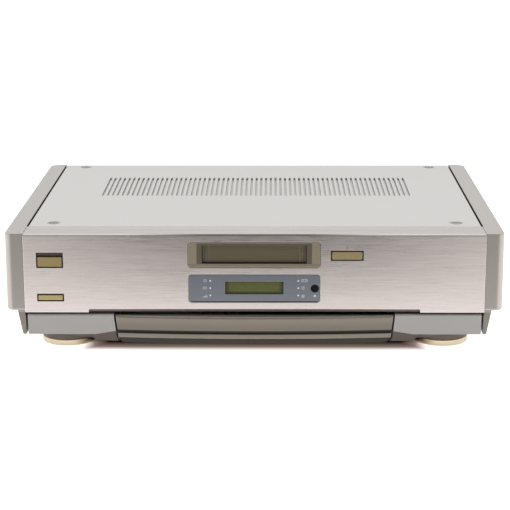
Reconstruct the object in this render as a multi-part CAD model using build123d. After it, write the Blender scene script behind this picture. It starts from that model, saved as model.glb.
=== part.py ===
from build123d import *
import math
import os

# A compact 8 mm format video cassette recorder for a hi-fi rack: a champagne aluminium front,
# a vented cover between two side panels, a front loading cassette slot and, under the front
# panel, a motor driven tray that carries the running keys and the jog and shuttle dial.
#
# Millimetres. x runs to the right seen from the front, z runs up from the ground, and every
# depth y below is measured back from the face of the front panel. place() shifts each piece
# on export, so that the origin lies under the middle of the recorder.

# ------------------------------------------------------------------ driving dimensions
PANEL_W = 430.0          # front panel, the standard hi-fi width
BODY_TOP = 114.2         # ground to the top of the cover
CASE_DEPTH = 342.0       # front panel face to the rear edge of the cover
JACK_REACH = 352.0       # depth of the tips of the rear jacks
TRAY_BOW = 6.0           # how far the middle of the tray stands in front of the panel
FLOOR_Z = 12.0           # underside of the base pan, the height of the feet
ORIGIN_DEPTH = (JACK_REACH - TRAY_BOW) / 2

SHEET = 1.2              # steel sheet of the pan
PANEL_T = 3.0            # front panel plate
PANEL_BOTTOM = 38.9
FLANGE_DEPTH = 32.3      # return of the front panel over the top
FLANGE_T = 2.5
EDGE_R = 1.8

SIDE_T = 17.0            # side panels
SIDE_IN = PANEL_W / 2
SIDE_OUT = SIDE_IN + SIDE_T
SIDE_TOP = 114.8
SIDE_BACK = 343.5

COVER_HALF = 213.8
COVER_FRONT = 32.8
COVER_T = 1.6
VENT_COUNT = 63
VENT_PITCH = 5.08
VENT_WIDTH = 2.3
VENT_FRONT = 175.0
VENT_BACK = 270.0
SCREEN_DROP = 0.9        # air gap between the cover and the screen under its slots
SCREW_X = 191.8
SCREW_DEPTHS = (47.7, 329.6)

PAN_HALF = 212.4
PAN_FRONT = 26.0
PAN_TOP = 111.5
REAR_Y = 339.4           # inner face of the rear panel
REAR_T = 1.2

FOOT_X = 179.0
FOOT_DEPTHS = (45.0, 297.0)
FOOT_R = 25.8

BEZEL_HALF = 61.4        # cassette bezel
BEZEL_Z = (82.7, 106.1)
SLOT_HALF = 48.7         # cassette slot in the bezel
SLOT_Z = (86.2, 103.7)
HINGE_Y, HINGE_Z = 4.8, 105.0
PIN_R = 0.8
RUNNING = 0.05           # radial clearance of a running fit

WINDOW_HALF = 61.0       # display window
WINDOW_Z = (49.4, 75.4)
LCD_HALF = 27.3
LCD_Z = (56.8, 69.1)
IR_X, IR_Z, IR_R = 56.4, 62.5, 3.9
LAMP_X = 41.0
LAMP_ROWS = (55.6, 62.7, 69.7)

POWER_BOX = (-202.3, -178.2, 82.4, 96.1)      # button openings: x0, x1, z0, z1
PANEL_BOX = (-202.4, -178.2, 50.2, 56.7)
EJECT_BOX = (71.5, 101.0, 89.4, 98.1)
POWER_LEDGE = 2.8        # fixed dark strip above the power cap
BUTTON_GAP = 0.8
NOTCH_HALF = 155.0       # notch in the lower edge of the front panel
NOTCH_Z = 42.3

TRAY_HALF = 130.0        # tray front
TRAY_TOP = 36.3
WING_TOP = 37.1
TRAY_BOTTOM = 8.9
TRAY_SLANT = 2.8         # how far the flanks of the tray close in towards the ground
TRAY_GAP = 1.8           # black gap between the tray and the wings
GROOVE = (18.7, 22.0)    # heights of the groove along the tray front
LIP_FOOT = 14.6          # lower edge of the lip under the groove
FASCIA_BACK = 5.0
TRAY_BACK = 116.0
ARM_BACK = 150.0
BODY_HALF = 126.0
DECK_Z = 33.6
KEY_TOP = 35.5
DIAL_X, DIAL_Y = 72.0, 56.0

GEAR_TEETH = 16
GEAR_MODULE = 1.0
GEAR_X, GEAR_Y = -136.9, 42.0
MOTOR_X, MOTOR_Y = -184.0, 62.0
PULLEY_R = 8.6
MOTOR_PULLEY_R = 4.0
BELT_R = 0.7

MECHA_Z = 44.0           # underside of the mechanism base
MECHA_T = 1.6
MECHA_TOP = MECHA_Z + MECHA_T
HOLDER_HALF = 48.0       # inside of the cassette holder, for a cassette 95 wide
HOLDER_Z = (86.6, 102.4)
HOLDER_Y = (24.8, 88.0)
REEL_X, REEL_Y = 23.0, 86.0
DRUM_Y, DRUM_R = 142.0, 20.0
CAPSTAN_X, CAPSTAN_Y = 40.0, 128.0
PINCH_PIVOT = (62.0, 132.0)
PINCH_REST = (49.5, 136.0)


# ------------------------------------------------------------------ helpers
def block(x0, x1, y0, y1, z0, z1):
    """A box between two corners."""
    middle = Pos((x0 + x1) / 2, (y0 + y1) / 2, (z0 + z1) / 2)
    return middle * Box(x1 - x0, y1 - y0, z1 - z0)


def post(x, y, z0, z1, radius):
    """An upright round bar."""
    return Pos(x, y, (z0 + z1) / 2) * Cylinder(radius, z1 - z0)


def bar_x(y, z, x0, x1, radius):
    """A round bar that runs across the recorder."""
    return Pos((x0 + x1) / 2, y, z) * Rot(0, 90, 0) * Cylinder(radius, x1 - x0)


def bar_y(x, z, y0, y1, radius):
    """A round bar that runs front to back."""
    return Pos(x, (y0 + y1) / 2, z) * Rot(90, 0, 0) * Cylinder(radius, y1 - y0)


def front_prism(outline, y0, y1):
    """An outline drawn in x and z, filled between two depths."""
    plane = Plane((0, y1, 0), x_dir=(1, 0, 0), z_dir=(0, -1, 0))
    return extrude(plane * outline, y1 - y0)


def side_prism(outline, x0, x1):
    """An outline drawn in y and z, filled between two x."""
    plane = Plane((x0, 0, 0), x_dir=(0, 1, 0), z_dir=(1, 0, 0))
    return extrude(plane * outline, x1 - x0)


def plan_prism(outline, z0, z1):
    """An outline drawn in x and y, filled between two heights."""
    return extrude(Plane((0, 0, z0)) * outline, z1 - z0)


def polygon(points):
    """A closed flat face through the points."""
    return make_face(Polyline(*points, close=True))


def round_box(x0, x1, y0, y1, radius):
    """A flat rectangle with rounded corners."""
    return Pos((x0 + x1) / 2, (y0 + y1) / 2) * RectangleRounded(x1 - x0, y1 - y0, radius)


def mirrored(shape):
    """The same piece on the other side of the recorder."""
    return mirror(shape, about=Plane.YZ)


def place(name, *solids):
    """Write one node: one solid, or a group of like solids."""
    pieces = [solid for shape in solids for solid in shape.solids()]
    moved = [Pos(0, -ORIGIN_DEPTH, 0) * solid for solid in pieces]
    export_step(moved[0] if len(moved) == 1 else Compound(children=moved), f"parts/{name}.step")


# ------------------------------------------------------------------ case
def vent_slots(count, width, z0, z1):
    """A row of long air slots across the middle of the cover."""
    slot = Rot(0, 0, 90) * SlotOverall(VENT_BACK - VENT_FRONT, width)
    first = -VENT_PITCH * (count - 1) / 2
    middle = (VENT_FRONT + VENT_BACK) / 2
    places = [Pos(first + VENT_PITCH * index, middle) for index in range(count)]
    return plan_prism(Sketch() + [spot * slot for spot in places], z0, z1)


def vent_screen():
    """Sheet welded under the slots, with its own slots between them, against dust."""
    half = VENT_PITCH * VENT_COUNT / 2 + 3
    under = BODY_TOP - COVER_T
    top = under - SCREEN_DROP
    screen = block(-half, half, VENT_FRONT - 8, VENT_BACK + 8, top - 0.8, top)
    for y in (VENT_FRONT - 8, VENT_BACK + 3):
        screen += block(-half, half, y, y + 5, top, under)
    return screen - vent_slots(VENT_COUNT - 1, 1.4, top - 2, top + 0.1)


def top_cover():
    """Vented sheet cover with short down-turned edges and four screw seats."""
    under = BODY_TOP - COVER_T
    edge = 1.2
    cover = block(-COVER_HALF, COVER_HALF, COVER_FRONT, CASE_DEPTH, under, BODY_TOP)
    for sign in (-1, 1):
        x_in, x_out = sorted((sign * (COVER_HALF - edge), sign * COVER_HALF))
        cover += block(x_in, x_out, COVER_FRONT, CASE_DEPTH, under - 8, under)
    cover += block(-COVER_HALF, COVER_HALF, CASE_DEPTH - edge, CASE_DEPTH, under - 8, under)
    cover -= vent_slots(VENT_COUNT, VENT_WIDTH, under - 1, BODY_TOP + 1)
    for x in (-SCREW_X, SCREW_X):
        for y in SCREW_DEPTHS:
            cover -= post(x, y, BODY_TOP - 1.0, BODY_TOP + 1, 6.6)
            cover -= post(x, y, under - 1, BODY_TOP, 2.2)
    return cover


def cover_screws():
    """Four ring-headed screws that lie flush in the cover."""
    screws = []
    for x in (-SCREW_X, SCREW_X):
        for y in SCREW_DEPTHS:
            screw = post(x, y, BODY_TOP - 1.0, BODY_TOP - 0.1, 6.3)
            screw -= post(x, y, BODY_TOP - 0.5, BODY_TOP, 4.6)
            screw += post(x, y, BODY_TOP - 1.0, BODY_TOP - 0.15, 3.4)
            screw -= block(x - 2, x + 2, y - 0.4, y + 0.4, BODY_TOP - 0.6, BODY_TOP)
            screw -= block(x - 0.4, x + 0.4, y - 2, y + 2, BODY_TOP - 0.6, BODY_TOP)
            screw += post(x, y, BODY_TOP - 9, BODY_TOP - 1.0, 2.0)
            screws.append(screw)
    return screws


def button_hole(box, radius):
    """The opening of a button in the front plate."""
    x0, x1, z0, z1 = box
    return front_prism(round_box(x0, x1, z0, z1, radius), -5, 10)


def front_panel():
    """Bent aluminium front: a face plate and a return over the top."""
    half = PANEL_W / 2 - 0.2
    panel = block(-half, half, 0, PANEL_T, PANEL_BOTTOM, BODY_TOP)
    panel += block(-half, half, 0, FLANGE_DEPTH, BODY_TOP - FLANGE_T, BODY_TOP)
    top_edge = panel.edges().filter_by(Axis.X).sort_by(lambda e: e.center().Z - e.center().Y)[-1]
    panel = fillet(top_edge, EDGE_R)
    low_edge = panel.edges().filter_by(Axis.X).sort_by(lambda e: e.center().Z + e.center().Y)[0]
    panel = fillet(low_edge, 0.6)
    gap = 0.35
    panel -= front_prism(round_box(-BEZEL_HALF - gap, BEZEL_HALF + gap, BEZEL_Z[0] - gap,
                                   BEZEL_Z[1] + gap, 3.2), -5, 10)
    panel -= front_prism(round_box(-WINDOW_HALF - gap, WINDOW_HALF + gap, WINDOW_Z[0] - gap,
                                   WINDOW_Z[1] + gap, 2.7), -5, 10)
    panel -= button_hole(POWER_BOX, 0.8)
    panel -= button_hole(PANEL_BOX, 1.0)
    panel -= button_hole(EJECT_BOX, 1.2)
    panel -= front_prism(round_box(-NOTCH_HALF, NOTCH_HALF, PANEL_BOTTOM - 6, NOTCH_Z, 1.6),
                         -5, 10)
    return panel


def front_subframe():
    """Moulded frame behind the front plate; its lower bar shows in the notch."""
    front, back = PANEL_T + 0.1, 8.0
    frame = block(-211, 211, front, back, 39.3, 111.4)
    frame -= block(-63.5, 63.5, 0, 20, 80.6, 108.5)
    frame -= block(-60.8, 60.8, 0, 20, 52.0, 73.0)
    for x0, x1, z0, z1 in (POWER_BOX, PANEL_BOX, EJECT_BOX):
        frame -= block(x0 - 2.6, x1 + 2.6, 0, 20, z0 - 2.6, z1 + 2.6)
    for x in (-140, 140):
        for z in (47, 104):
            frame += bar_y(x, z, back, 14, 4)
            frame -= bar_y(x, z, 6, 15, 1.4)
    for x in (-185, -120, 120, 185):
        frame += block(x - 6, x + 6, back, 28, 108.6, 111.4)
    return frame


def side_panel():
    """Right-hand side panel: a slab with a rounded front, and a skirt that leans inward."""
    slab = block(SIDE_IN, SIDE_OUT, 0, SIDE_BACK, 40.6, SIDE_TOP)
    uprights = slab.edges().filter_by(Axis.Z).group_by(Axis.X)[-1].sort_by(Axis.Y)
    slab = fillet(uprights[0], 7.0)
    uprights = slab.edges().filter_by(Axis.Z).group_by(Axis.X)[-1].sort_by(Axis.Y)
    slab = fillet(uprights[-1], 11.0)
    bottom = slab.faces().sort_by(Axis.Z)[0]
    rim = bottom.edges().filter_by(lambda e: e.center().X > SIDE_IN + 1)
    slab = fillet(rim, 2.6)
    top = slab.faces().sort_by(Axis.Z)[-1]
    rim = top.edges().filter_by(lambda e: e.center().X > SIDE_IN + 1)
    slab = fillet(rim, 0.9)
    skirt = polygon([(SIDE_IN, 41.0), (221.7, 41.0), (217.4, 18.6), (216.4, 17.8), (214.2, 17.8),
                     (214.2, 36.0), (SIDE_IN, 38.0)])
    return slab + front_prism(skirt, 1.2, SIDE_BACK - 4)


def tray_outline(grow):
    """Front view of the tray: flanks that close in a little, and rounded lower corners."""
    wide = TRAY_HALF + grow
    narrow = wide - TRAY_SLANT
    low = TRAY_BOTTOM - grow
    shape = polygon([(-wide, TRAY_TOP), (-wide, TRAY_TOP + 12), (wide, TRAY_TOP + 12),
                     (wide, TRAY_TOP), (narrow, low), (-narrow, low)])
    corners = shape.vertices().sort_by(Axis.Y)[:2]
    return fillet(corners, 7.0)


def wing():
    """Right-hand wing beside the tray: a leaning face over a facet that fades outward."""
    top, low = WING_TOP, FLOOR_Z + 0.1

    def section(x, crease, foot_y, foot_z):
        lean = 0.5 + 2.2 * (top - crease) / (top - 17.2)
        points = [(0.5, top), (lean, crease), (foot_y, foot_z), (25.5, foot_z), (25.5, top)]
        return Plane((x, 0, 0), x_dir=(0, 1, 0), z_dir=(1, 0, 0)) * polygon(points)

    rows = [section(TRAY_HALF - 8, 21.8, 7.0, TRAY_BOTTOM + 0.3),
            section(149.0, 17.2, 7.4, TRAY_BOTTOM + 0.6), section(152.5, 17.2, 8.6, low),
            section(212.4, 17.2, 24.5, low)]
    body = Part()
    for first, second in zip(rows, rows[1:]):
        body += loft([first, second], ruled=True)
    body -= front_prism(tray_outline(TRAY_GAP), -10, 60)
    edges = body.edges().filter_by(lambda e: e.center().Z > top - 0.01 and e.center().Y < 1)
    body = fillet(edges, 1.3)
    return body - block(136, 208, 5.0, 40, 21.0, 33.5)


def base_pan():
    """Steel pan: floor with air slots, side walls, front rests and the riveted gear stud."""
    back = REAR_Y - 0.2
    pan = block(-PAN_HALF, PAN_HALF, PAN_FRONT, back, FLOOR_Z, FLOOR_Z + SHEET)
    for sign in (-1, 1):
        x_in, x_out = sorted((sign * (PAN_HALF - SHEET), sign * PAN_HALF))
        pan += block(x_in, x_out, PAN_FRONT, back, FLOOR_Z, PAN_TOP)
        x_in, x_out = sorted((sign * (PAN_HALF - 14), sign * PAN_HALF))
        pan += block(x_in, x_out, PAN_FRONT, PAN_FRONT + SHEET, 38, PAN_TOP)
    slot = Rot(0, 0, 90) * SlotOverall(44, 3)
    places = [Pos(x, y) for x in range(-95, 100, 10) for y in (180, 240)]
    pan -= plan_prism(Sketch() + [spot * slot for spot in places], FLOOR_Z - 1, FLOOR_Z + 3)
    for x in (-FOOT_X, FOOT_X):
        for y in FOOT_DEPTHS:
            pan -= post(x, y, FLOOR_Z - 1, FLOOR_Z + 3, 2.1)
    base = FLOOR_Z + SHEET
    pan += post(GEAR_X, GEAR_Y, base - 0.1, 21.4, 4.0)
    return pan + post(GEAR_X, GEAR_Y, 21.4, 33.2, 1.5)


RCA_X = (20.0, 34.0, 48.0, 76.0, 90.0, 104.0)
RCA_Z = 58.0
SVIDEO_X = (20.0, 76.0)
SVIDEO_Z = 80.0
CONTROL_X, CONTROL_Z = 130.0, 58.0
INLET_X, INLET_Z = -178.0, 36.0
REAR_SCREWS = [(-204, 100), (204, 100), (-204, 24), (204, 24), (-60, 98), (160, 72)]


def rear_panel():
    """Steel rear panel with the holes of the sockets and a block of air slots."""
    panel = block(-210.8, 210.8, REAR_Y, REAR_Y + REAR_T, FLOOR_Z + 1.4, BODY_TOP - COVER_T - 0.2)
    holes = [(x, RCA_Z, 5.2) for x in RCA_X]
    holes += [(x, SVIDEO_Z, 6.2) for x in SVIDEO_X]
    holes += [(CONTROL_X, CONTROL_Z, 3.2)]
    holes += [(x, z, 1.6) for x, z in REAR_SCREWS]
    for x, z, radius in holes:
        panel -= bar_y(x, z, REAR_Y - 5, REAR_Y + 5, radius)
    panel -= block(INLET_X - 12.3, INLET_X + 12.3, REAR_Y - 5, REAR_Y + 5, INLET_Z - 8.3,
                   INLET_Z + 8.3)
    for x in range(-150, -60, 6):
        panel -= block(x - 1, x + 1, REAR_Y - 5, REAR_Y + 5, 48, 92)
    return panel


def rear_screws():
    """Pan-head screws of the rear panel."""
    screws = []
    face = REAR_Y + REAR_T
    for x, z in REAR_SCREWS:
        screw = bar_y(x, z, face, face + 1.9, 3.0) + bar_y(x, z, face - 7, face, 1.5)
        screw -= block(x - 1.8, x + 1.8, face + 1.2, face + 3, z - 0.35, z + 0.35)
        screw -= block(x - 0.35, x + 0.35, face + 1.2, face + 3, z - 1.8, z + 1.8)
        screws.append(screw)
    return screws


def feet():
    """The three kinds of piece in the four feet: grey cups, metal rings and soft pads."""
    cups, rings, pads, screws = [], [], [], []
    for x in (-FOOT_X, FOOT_X):
        for y in FOOT_DEPTHS:
            cup = post(x, y, 5.9, FLOOR_Z, FOOT_R - 0.7) + post(x, y, 2.0, 5.9, 20.4)
            cup -= post(x, y, 1.0, 8.0, 5.0)
            cup -= post(x, y, 1.0, FLOOR_Z + 1, 2.1)
            ring = post(x, y, 0.6, 5.9, FOOT_R) - post(x, y, 0, 7, 20.4)
            ring = chamfer(ring.edges().filter_by(GeomType.CIRCLE).group_by(Axis.Z)[0], 0.3)
            pads.append(post(x, y, 0, 2.0, 20.0) - post(x, y, -1, 3, 5.0))
            screw = post(x, y, 5.0, 8.0, 4.0) + post(x, y, 8.0, FLOOR_Z + SHEET, 2.0)
            cups.append(cup)
            rings.append(ring)
            screws.append(screw)
    return cups, rings, pads, screws


# ------------------------------------------------------------------ front panel fittings
def cassette_bezel():
    """Moulded frame of the cassette slot with a throat for the cassette behind it."""
    outline = round_box(-BEZEL_HALF, BEZEL_HALF, BEZEL_Z[0], BEZEL_Z[1], 3.0)
    bezel = front_prism(outline, -0.6, 3.0)
    lip = polygon([(3.0, BEZEL_Z[0]), (-1.0, BEZEL_Z[0]), (-1.6, BEZEL_Z[0] + 0.6),
                   (-0.6, SLOT_Z[0]), (3.0, SLOT_Z[0])])
    bezel += side_prism(lip, -BEZEL_HALF, BEZEL_HALF) & front_prism(outline, -5, 3.0)
    bezel += block(-SLOT_HALF - 2.4, SLOT_HALF + 2.4, 3.0, 23.0, SLOT_Z[0] - 1.8, SLOT_Z[0])
    for sign in (-1, 1):
        x_in, x_out = sorted((sign * SLOT_HALF, sign * (SLOT_HALF + 2.4)))
        bezel += block(x_in, x_out, 3.0, 23.0, SLOT_Z[0] - 1.8, 107.6)
    bezel -= block(-SLOT_HALF, SLOT_HALF, -5, 30, SLOT_Z[0], SLOT_Z[1])
    bezel -= bar_x(HINGE_Y, HINGE_Z, -60, 60, PIN_R)
    return bezel


def cassette_flap():
    """Smoked door of the slot, hung from its upper edge."""
    half = SLOT_HALF - 0.4
    flap = block(-half, half, HINGE_Y - 0.8, HINGE_Y + 0.8, SLOT_Z[0] + 0.4, HINGE_Z)
    flap += bar_x(HINGE_Y, HINGE_Z, -half, half, 1.7)
    for x in (-44.6, -42.4, 42.4, 44.6):
        flap += block(x - 0.35, x + 0.35, HINGE_Y - 1.2, HINGE_Y, SLOT_Z[0] + 0.4, HINGE_Z - 1.8)
    return flap - bar_x(HINGE_Y, HINGE_Z, -60, 60, PIN_R + RUNNING)


def flap_pin():
    """Steel pin of the flap, pressed into both cheeks of the bezel."""
    return bar_x(HINGE_Y, HINGE_Z, -SLOT_HALF - 2.4, SLOT_HALF + 2.4, PIN_R)


def display_window():
    """Printed window with openings for the display, the lamps and the remote receiver."""
    window = front_prism(round_box(-WINDOW_HALF, WINDOW_HALF, *WINDOW_Z, 2.4), -0.3, 2.6)
    window -= front_prism(round_box(-LCD_HALF, LCD_HALF, *LCD_Z, 0.4), -5, 10)
    window -= bar_y(IR_X, IR_Z, -5, 10, IR_R + 0.1)
    for x in (-LAMP_X, LAMP_X):
        for z in LAMP_ROWS:
            window -= bar_y(x, z, -5, 10, 0.8)
    return window


def lcd_module():
    """Liquid crystal cell on its light box."""
    cell = block(-31, 31, 2.7, 5.0, 54.0, 71.8)
    return cell + block(-33, 33, 5.0, 12.0, 53.0, 72.6)


def light_pipes():
    """Six clear rods that lead the lamps to the window."""
    rods = []
    for x in (-LAMP_X, LAMP_X):
        for z in LAMP_ROWS:
            rods.append(bar_y(x, z, -0.1, 13.0, 0.7))
    return rods


def ir_receiver():
    """Remote receiver: a dark round lens on a small can."""
    return bar_y(IR_X, IR_Z, 0.4, 9.0, IR_R - 0.1) + block(52.0, 59.0, 9.0, 14.8, 58.0, 67.0)


def button_cap(box, radius, ledge, stem):
    """A push button: cap in the front plate, flange behind it and a stem for the switch."""
    x0, x1, z0, z1 = box
    z1 = z1 - ledge
    gap = BUTTON_GAP
    cap = front_prism(round_box(x0 + gap, x1 - gap, z0 + gap, z1 - gap, radius), -0.5, 4.0)
    cap = chamfer(cap.faces().sort_by(Axis.Y)[0].edges(), 0.35)
    cap += block(x0 - 1.2, x1 + 1.2, 4.0, 5.4, z0 - 1.2, z1 + (0.0 if ledge else 1.2))
    return cap + bar_y(stem[0], stem[1], 5.4, 10.2, 2.0)


POWER_STEM = (-190.2, 87.8)
PANEL_STEM = (-190.3, 53.4)
EJECT_STEM = (86.2, 93.7)


def power_ledge():
    """Fixed dark strip that fills the top of the power button's opening."""
    x0, x1, z1 = POWER_BOX[0], POWER_BOX[1], POWER_BOX[3]
    strip = block(x0 + 0.3, x1 - 0.3, 1.2, 5.4, z1 - POWER_LEDGE + 0.2, z1 - 0.3)
    return strip + block(x0 - 2.2, x1 + 2.2, 3.1, 5.4, z1 - POWER_LEDGE + 0.3, z1 + 2.2)


def front_boards():
    """Switch board and display board, each with its tact switches and chips."""
    switches = []
    for x, z in (POWER_STEM, PANEL_STEM, EJECT_STEM):
        body = block(x - 3, x + 3, 13.4, 16.0, z - 3, z + 3)
        switches.append(body + bar_y(x, z, 12.4, 13.4, 1.6))
    left = block(-208, -172, 16.0, 17.6, 45, 100) + switches[0] + switches[1]
    middle = block(-68, 108, 16.0, 17.6, 46, 78) + block(66, 108, 16.0, 17.6, 78, 103)
    middle += block(-30, -8, 17.6, 20.0, 54, 70) + block(10, 24, 17.6, 19.6, 56, 66)
    return left, middle + switches[2]


# ------------------------------------------------------------------ control tray
KEYS = {                                 # name: x0, x1, y0, y1
    "rewind_key": (-64.5, -49.4, 5.4, 16.0),
    "play_key": (-47.6, -28.4, 5.4, 16.0),
    "forward_key": (-25.6, -14.2, 5.4, 16.0),
    "stop_key": (-64.5, -42.4, 20.5, 31.5),
    "pause_key": (-40.6, -28.4, 20.5, 31.5),
    "record_key": (-25.6, -14.2, 20.5, 31.5),
}
KEYS_LEFT = min(box[0] for box in KEYS.values())
KEYS_RIGHT = max(box[1] for box in KEYS.values())


def tray_fascia():
    """Curved front of the tray: a leaning face, a deep groove, a lip and a recessed foot."""
    radius = (TRAY_HALF ** 2 + TRAY_BOW ** 2) / (2 * TRAY_BOW)
    centre = radius - TRAY_BOW
    sweep = 2 * math.degrees(math.asin((TRAY_HALF + 4) / radius))
    low, high = GROOVE
    back = FASCIA_BACK + TRAY_BOW + 0.2
    face = [(0.0, TRAY_TOP), (1.5, high), (3.9, high - 0.5), (3.9, low + 0.6), (1.7, low),
            (2.0, LIP_FOOT), (3.6, LIP_FOOT - 0.5), (4.4, TRAY_BOTTOM), (back, TRAY_BOTTOM),
            (back, TRAY_TOP)]
    outline = polygon([(y - TRAY_BOW, z) for y, z in face])
    outline = fillet(outline.vertices().sort_by(Axis.Y)[-2:].sort_by(Axis.X)[:1], 2.2)
    profile = Plane((0, 0, 0), x_dir=(0, 1, 0), z_dir=(1, 0, 0)) * outline
    axis = Axis((0, centre, 0), (0, 0, 1))
    body = revolve(profile.rotate(axis, -sweep / 2), axis, sweep)
    body &= front_prism(tray_outline(0), -20, FASCIA_BACK)
    return body - block(-TRAY_HALF - 5, TRAY_HALF + 5, 3.6, 20, DECK_Z - 2.0, TRAY_TOP + 5)


def rack_outline():
    """Plan of the rack on the tray's left flank."""
    pitch = math.pi * GEAR_MODULE
    line = -BODY_HALF - 2.4              # pitch line of the rack
    root, tip = line + 0.95, line - 0.75
    points = [(-BODY_HALF + 0.5, 24.0), (root, 24.0)]
    first = GEAR_Y + pitch / 2
    for index in range(-5, 36):
        middle = first + pitch * index
        points += [(root, middle - 0.95), (tip, middle - 0.28), (tip, middle + 0.28),
                   (root, middle + 0.95)]
    points += [(root, ARM_BACK + 6.0), (-BODY_HALF + 0.5, ARM_BACK + 6.0)]
    return polygon(points)


def tray_body():
    """Moulded drawer: an open box, two arms that stay in the guides, and the rack."""
    floor = 16.6
    low = DECK_Z - 1.8
    front = FASCIA_BACK + 0.2
    body = block(-BODY_HALF, BODY_HALF, front, TRAY_BACK, floor, low)
    body -= block(-BODY_HALF + 2, BODY_HALF - 2, front + 2, TRAY_BACK - 2, floor + 1.8, low + 1)
    body -= block(KEYS_LEFT - 1, KEYS_RIGHT + 1, front - 1, front + 3, low - 1.4, low + 1)
    body += block(-BODY_HALF, -BODY_HALF + 7, TRAY_BACK - 1, ARM_BACK + 6, floor, 27.0)
    body += block(BODY_HALF - 7, BODY_HALF, TRAY_BACK - 1, ARM_BACK, floor, 27.0)
    body += plan_prism(rack_outline(), 22.0, 26.6)
    for x in (-112, 20, 112):
        for y in (14, 106):
            body += post(x, y, floor + 1.8, 27.4, 3.0)
    body += post(DIAL_X, DIAL_Y, floor + 1.8, 18.6, 10.0)
    return body


def tray_deck():
    """Top plate of the tray with the openings of the keys and of the dial."""
    deck = block(-BODY_HALF, BODY_HALF, 3.8, TRAY_BACK, DECK_Z - 1.8, DECK_Z)
    for x0, x1, y0, y1 in KEYS.values():
        deck -= block(x0 - 0.3, x1 + 0.3, y0 - 0.3, y1 + 0.3, 20, 40)
    return deck - post(DIAL_X, DIAL_Y, 20, 40, 27.5)


def tray_board():
    """Board under the deck with one dome switch for each key."""
    board = block(-118, 30, 10.0, 100, 27.5, 29.1)
    board += block(-118, 30, 8.0, 10.0, 27.5, 29.1)
    for x in (-112, 20):
        board -= post(x, 14, 20, 40, 3.2)
    for x0, x1, y0, y1 in KEYS.values():
        board += post((x0 + x1) / 2, max((y0 + y1) / 2, 11.5), 29.1, 30.2, 2.4)
    return board


def tray_key(box):
    """A key of the tray: cap, retaining skirt and stem."""
    x0, x1, y0, y1 = box
    cap = plan_prism(round_box(x0, x1, y0, y1, 1.0), DECK_Z - 1.8, KEY_TOP)
    cap = chamfer(cap.faces().sort_by(Axis.Z)[-1].edges(), 0.5)
    stem = post((x0 + x1) / 2, max((y0 + y1) / 2, 11.5), 31.3, DECK_Z - 1.7, 1.8)
    return cap + stem


def shuttle_encoder():
    """Rotary encoder of the dial with a hollow post."""
    body = post(DIAL_X, DIAL_Y, 18.6, 29.5, 14.0) + post(DIAL_X, DIAL_Y, 29.5, 32.4, 5.0)
    return body - post(DIAL_X, DIAL_Y, 24.0, 40, 2.5 + RUNNING)


def shuttle_ring():
    """Outer shuttle ring with a pointer mark, turning on the encoder's post."""
    ring = post(DIAL_X, DIAL_Y, 34.0, 37.0, 30.0) + post(DIAL_X, DIAL_Y, 30.4, 34.1, 26.5)
    ring = chamfer(ring.edges().filter_by(GeomType.CIRCLE).group_by(Axis.Z)[-1], 1.0)
    ring -= post(DIAL_X, DIAL_Y, 31.6, 40, 20.7)
    ring -= post(DIAL_X, DIAL_Y, 30, 40, 5.0 + RUNNING)
    return ring - block(DIAL_X - 0.5, DIAL_X + 0.5, DIAL_Y + 22.5, DIAL_Y + 28, 36.6, 38)


def jog_dial():
    """Inner jog disc with a finger dimple and a shaft in the encoder."""
    disc = post(DIAL_X, DIAL_Y, 33.0, 36.8, 20.3)
    disc = chamfer(disc.edges().filter_by(GeomType.CIRCLE).group_by(Axis.Z)[-1], 0.6)
    disc += post(DIAL_X, DIAL_Y, 25.0, 33.0, 2.5)
    return disc - Pos(DIAL_X, DIAL_Y - 11.5, 46.0) * Sphere(11.2)


def tray_guides():
    """Two moulded channels on the pan that carry the tray."""
    guides = []
    for sign in (-1, 1):
        for x0, x1, z0, z1 in ((116.0, 131.0, 13.2, 16.3), (126.3, 131.0, 13.2, 20.6)):
            x_in, x_out = sorted((sign * x0, sign * x1))
            guides.append(block(x_in, x_out, 30.0, 200.0, z0, z1))
    return guides[0] + guides[1], guides[2] + guides[3]


def gear_outline():
    """Spur gear with straight flanked teeth."""
    pitch_r = GEAR_MODULE * GEAR_TEETH / 2
    step = 2 * math.pi / GEAR_TEETH
    points = []
    for index in range(GEAR_TEETH):
        for radius, half in ((pitch_r - 1.0, 0.30), (pitch_r + 0.7, 0.10)):
            points.append((radius, step * (index - half)))
        for radius, half in ((pitch_r + 0.7, 0.10), (pitch_r - 1.0, 0.30)):
            points.append((radius, step * (index + half)))
    return polygon([(r * math.cos(a), r * math.sin(a)) for r, a in points])


def tray_gear():
    """Pinion of the rack with the belt pulley above it."""
    gear = Pos(GEAR_X, GEAR_Y) * plan_prism(gear_outline(), 21.6, 27.0)
    gear += post(GEAR_X, GEAR_Y, 27.0, 28.4, 6.0)
    wheel = post(GEAR_X, GEAR_Y, 28.4, 32.4, PULLEY_R)
    groove = Pos(GEAR_X, GEAR_Y, 30.4) * Torus(PULLEY_R, BELT_R + 0.1)
    gear += wheel - groove
    return gear - post(GEAR_X, GEAR_Y, 20, 40, 1.5 + RUNNING)


def tray_motor():
    """Upright motor of the tray on its bracket."""
    base = FLOOR_Z + SHEET
    can = post(MOTOR_X, MOTOR_Y, base, 27.0, 12.0)
    can += post(MOTOR_X, MOTOR_Y, 27.0, 28.0, 3.0)
    return can + post(MOTOR_X, MOTOR_Y, 28.0, 33.0, 1.0)


def motor_pulley():
    """Small pulley on the motor's shaft."""
    wheel = post(MOTOR_X, MOTOR_Y, 28.4, 32.4, MOTOR_PULLEY_R)
    wheel -= Pos(MOTOR_X, MOTOR_Y, 30.4) * Torus(MOTOR_PULLEY_R, BELT_R + 0.1)
    return wheel - post(MOTOR_X, MOTOR_Y, 20, 40, 1.0 + 0.02)


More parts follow.
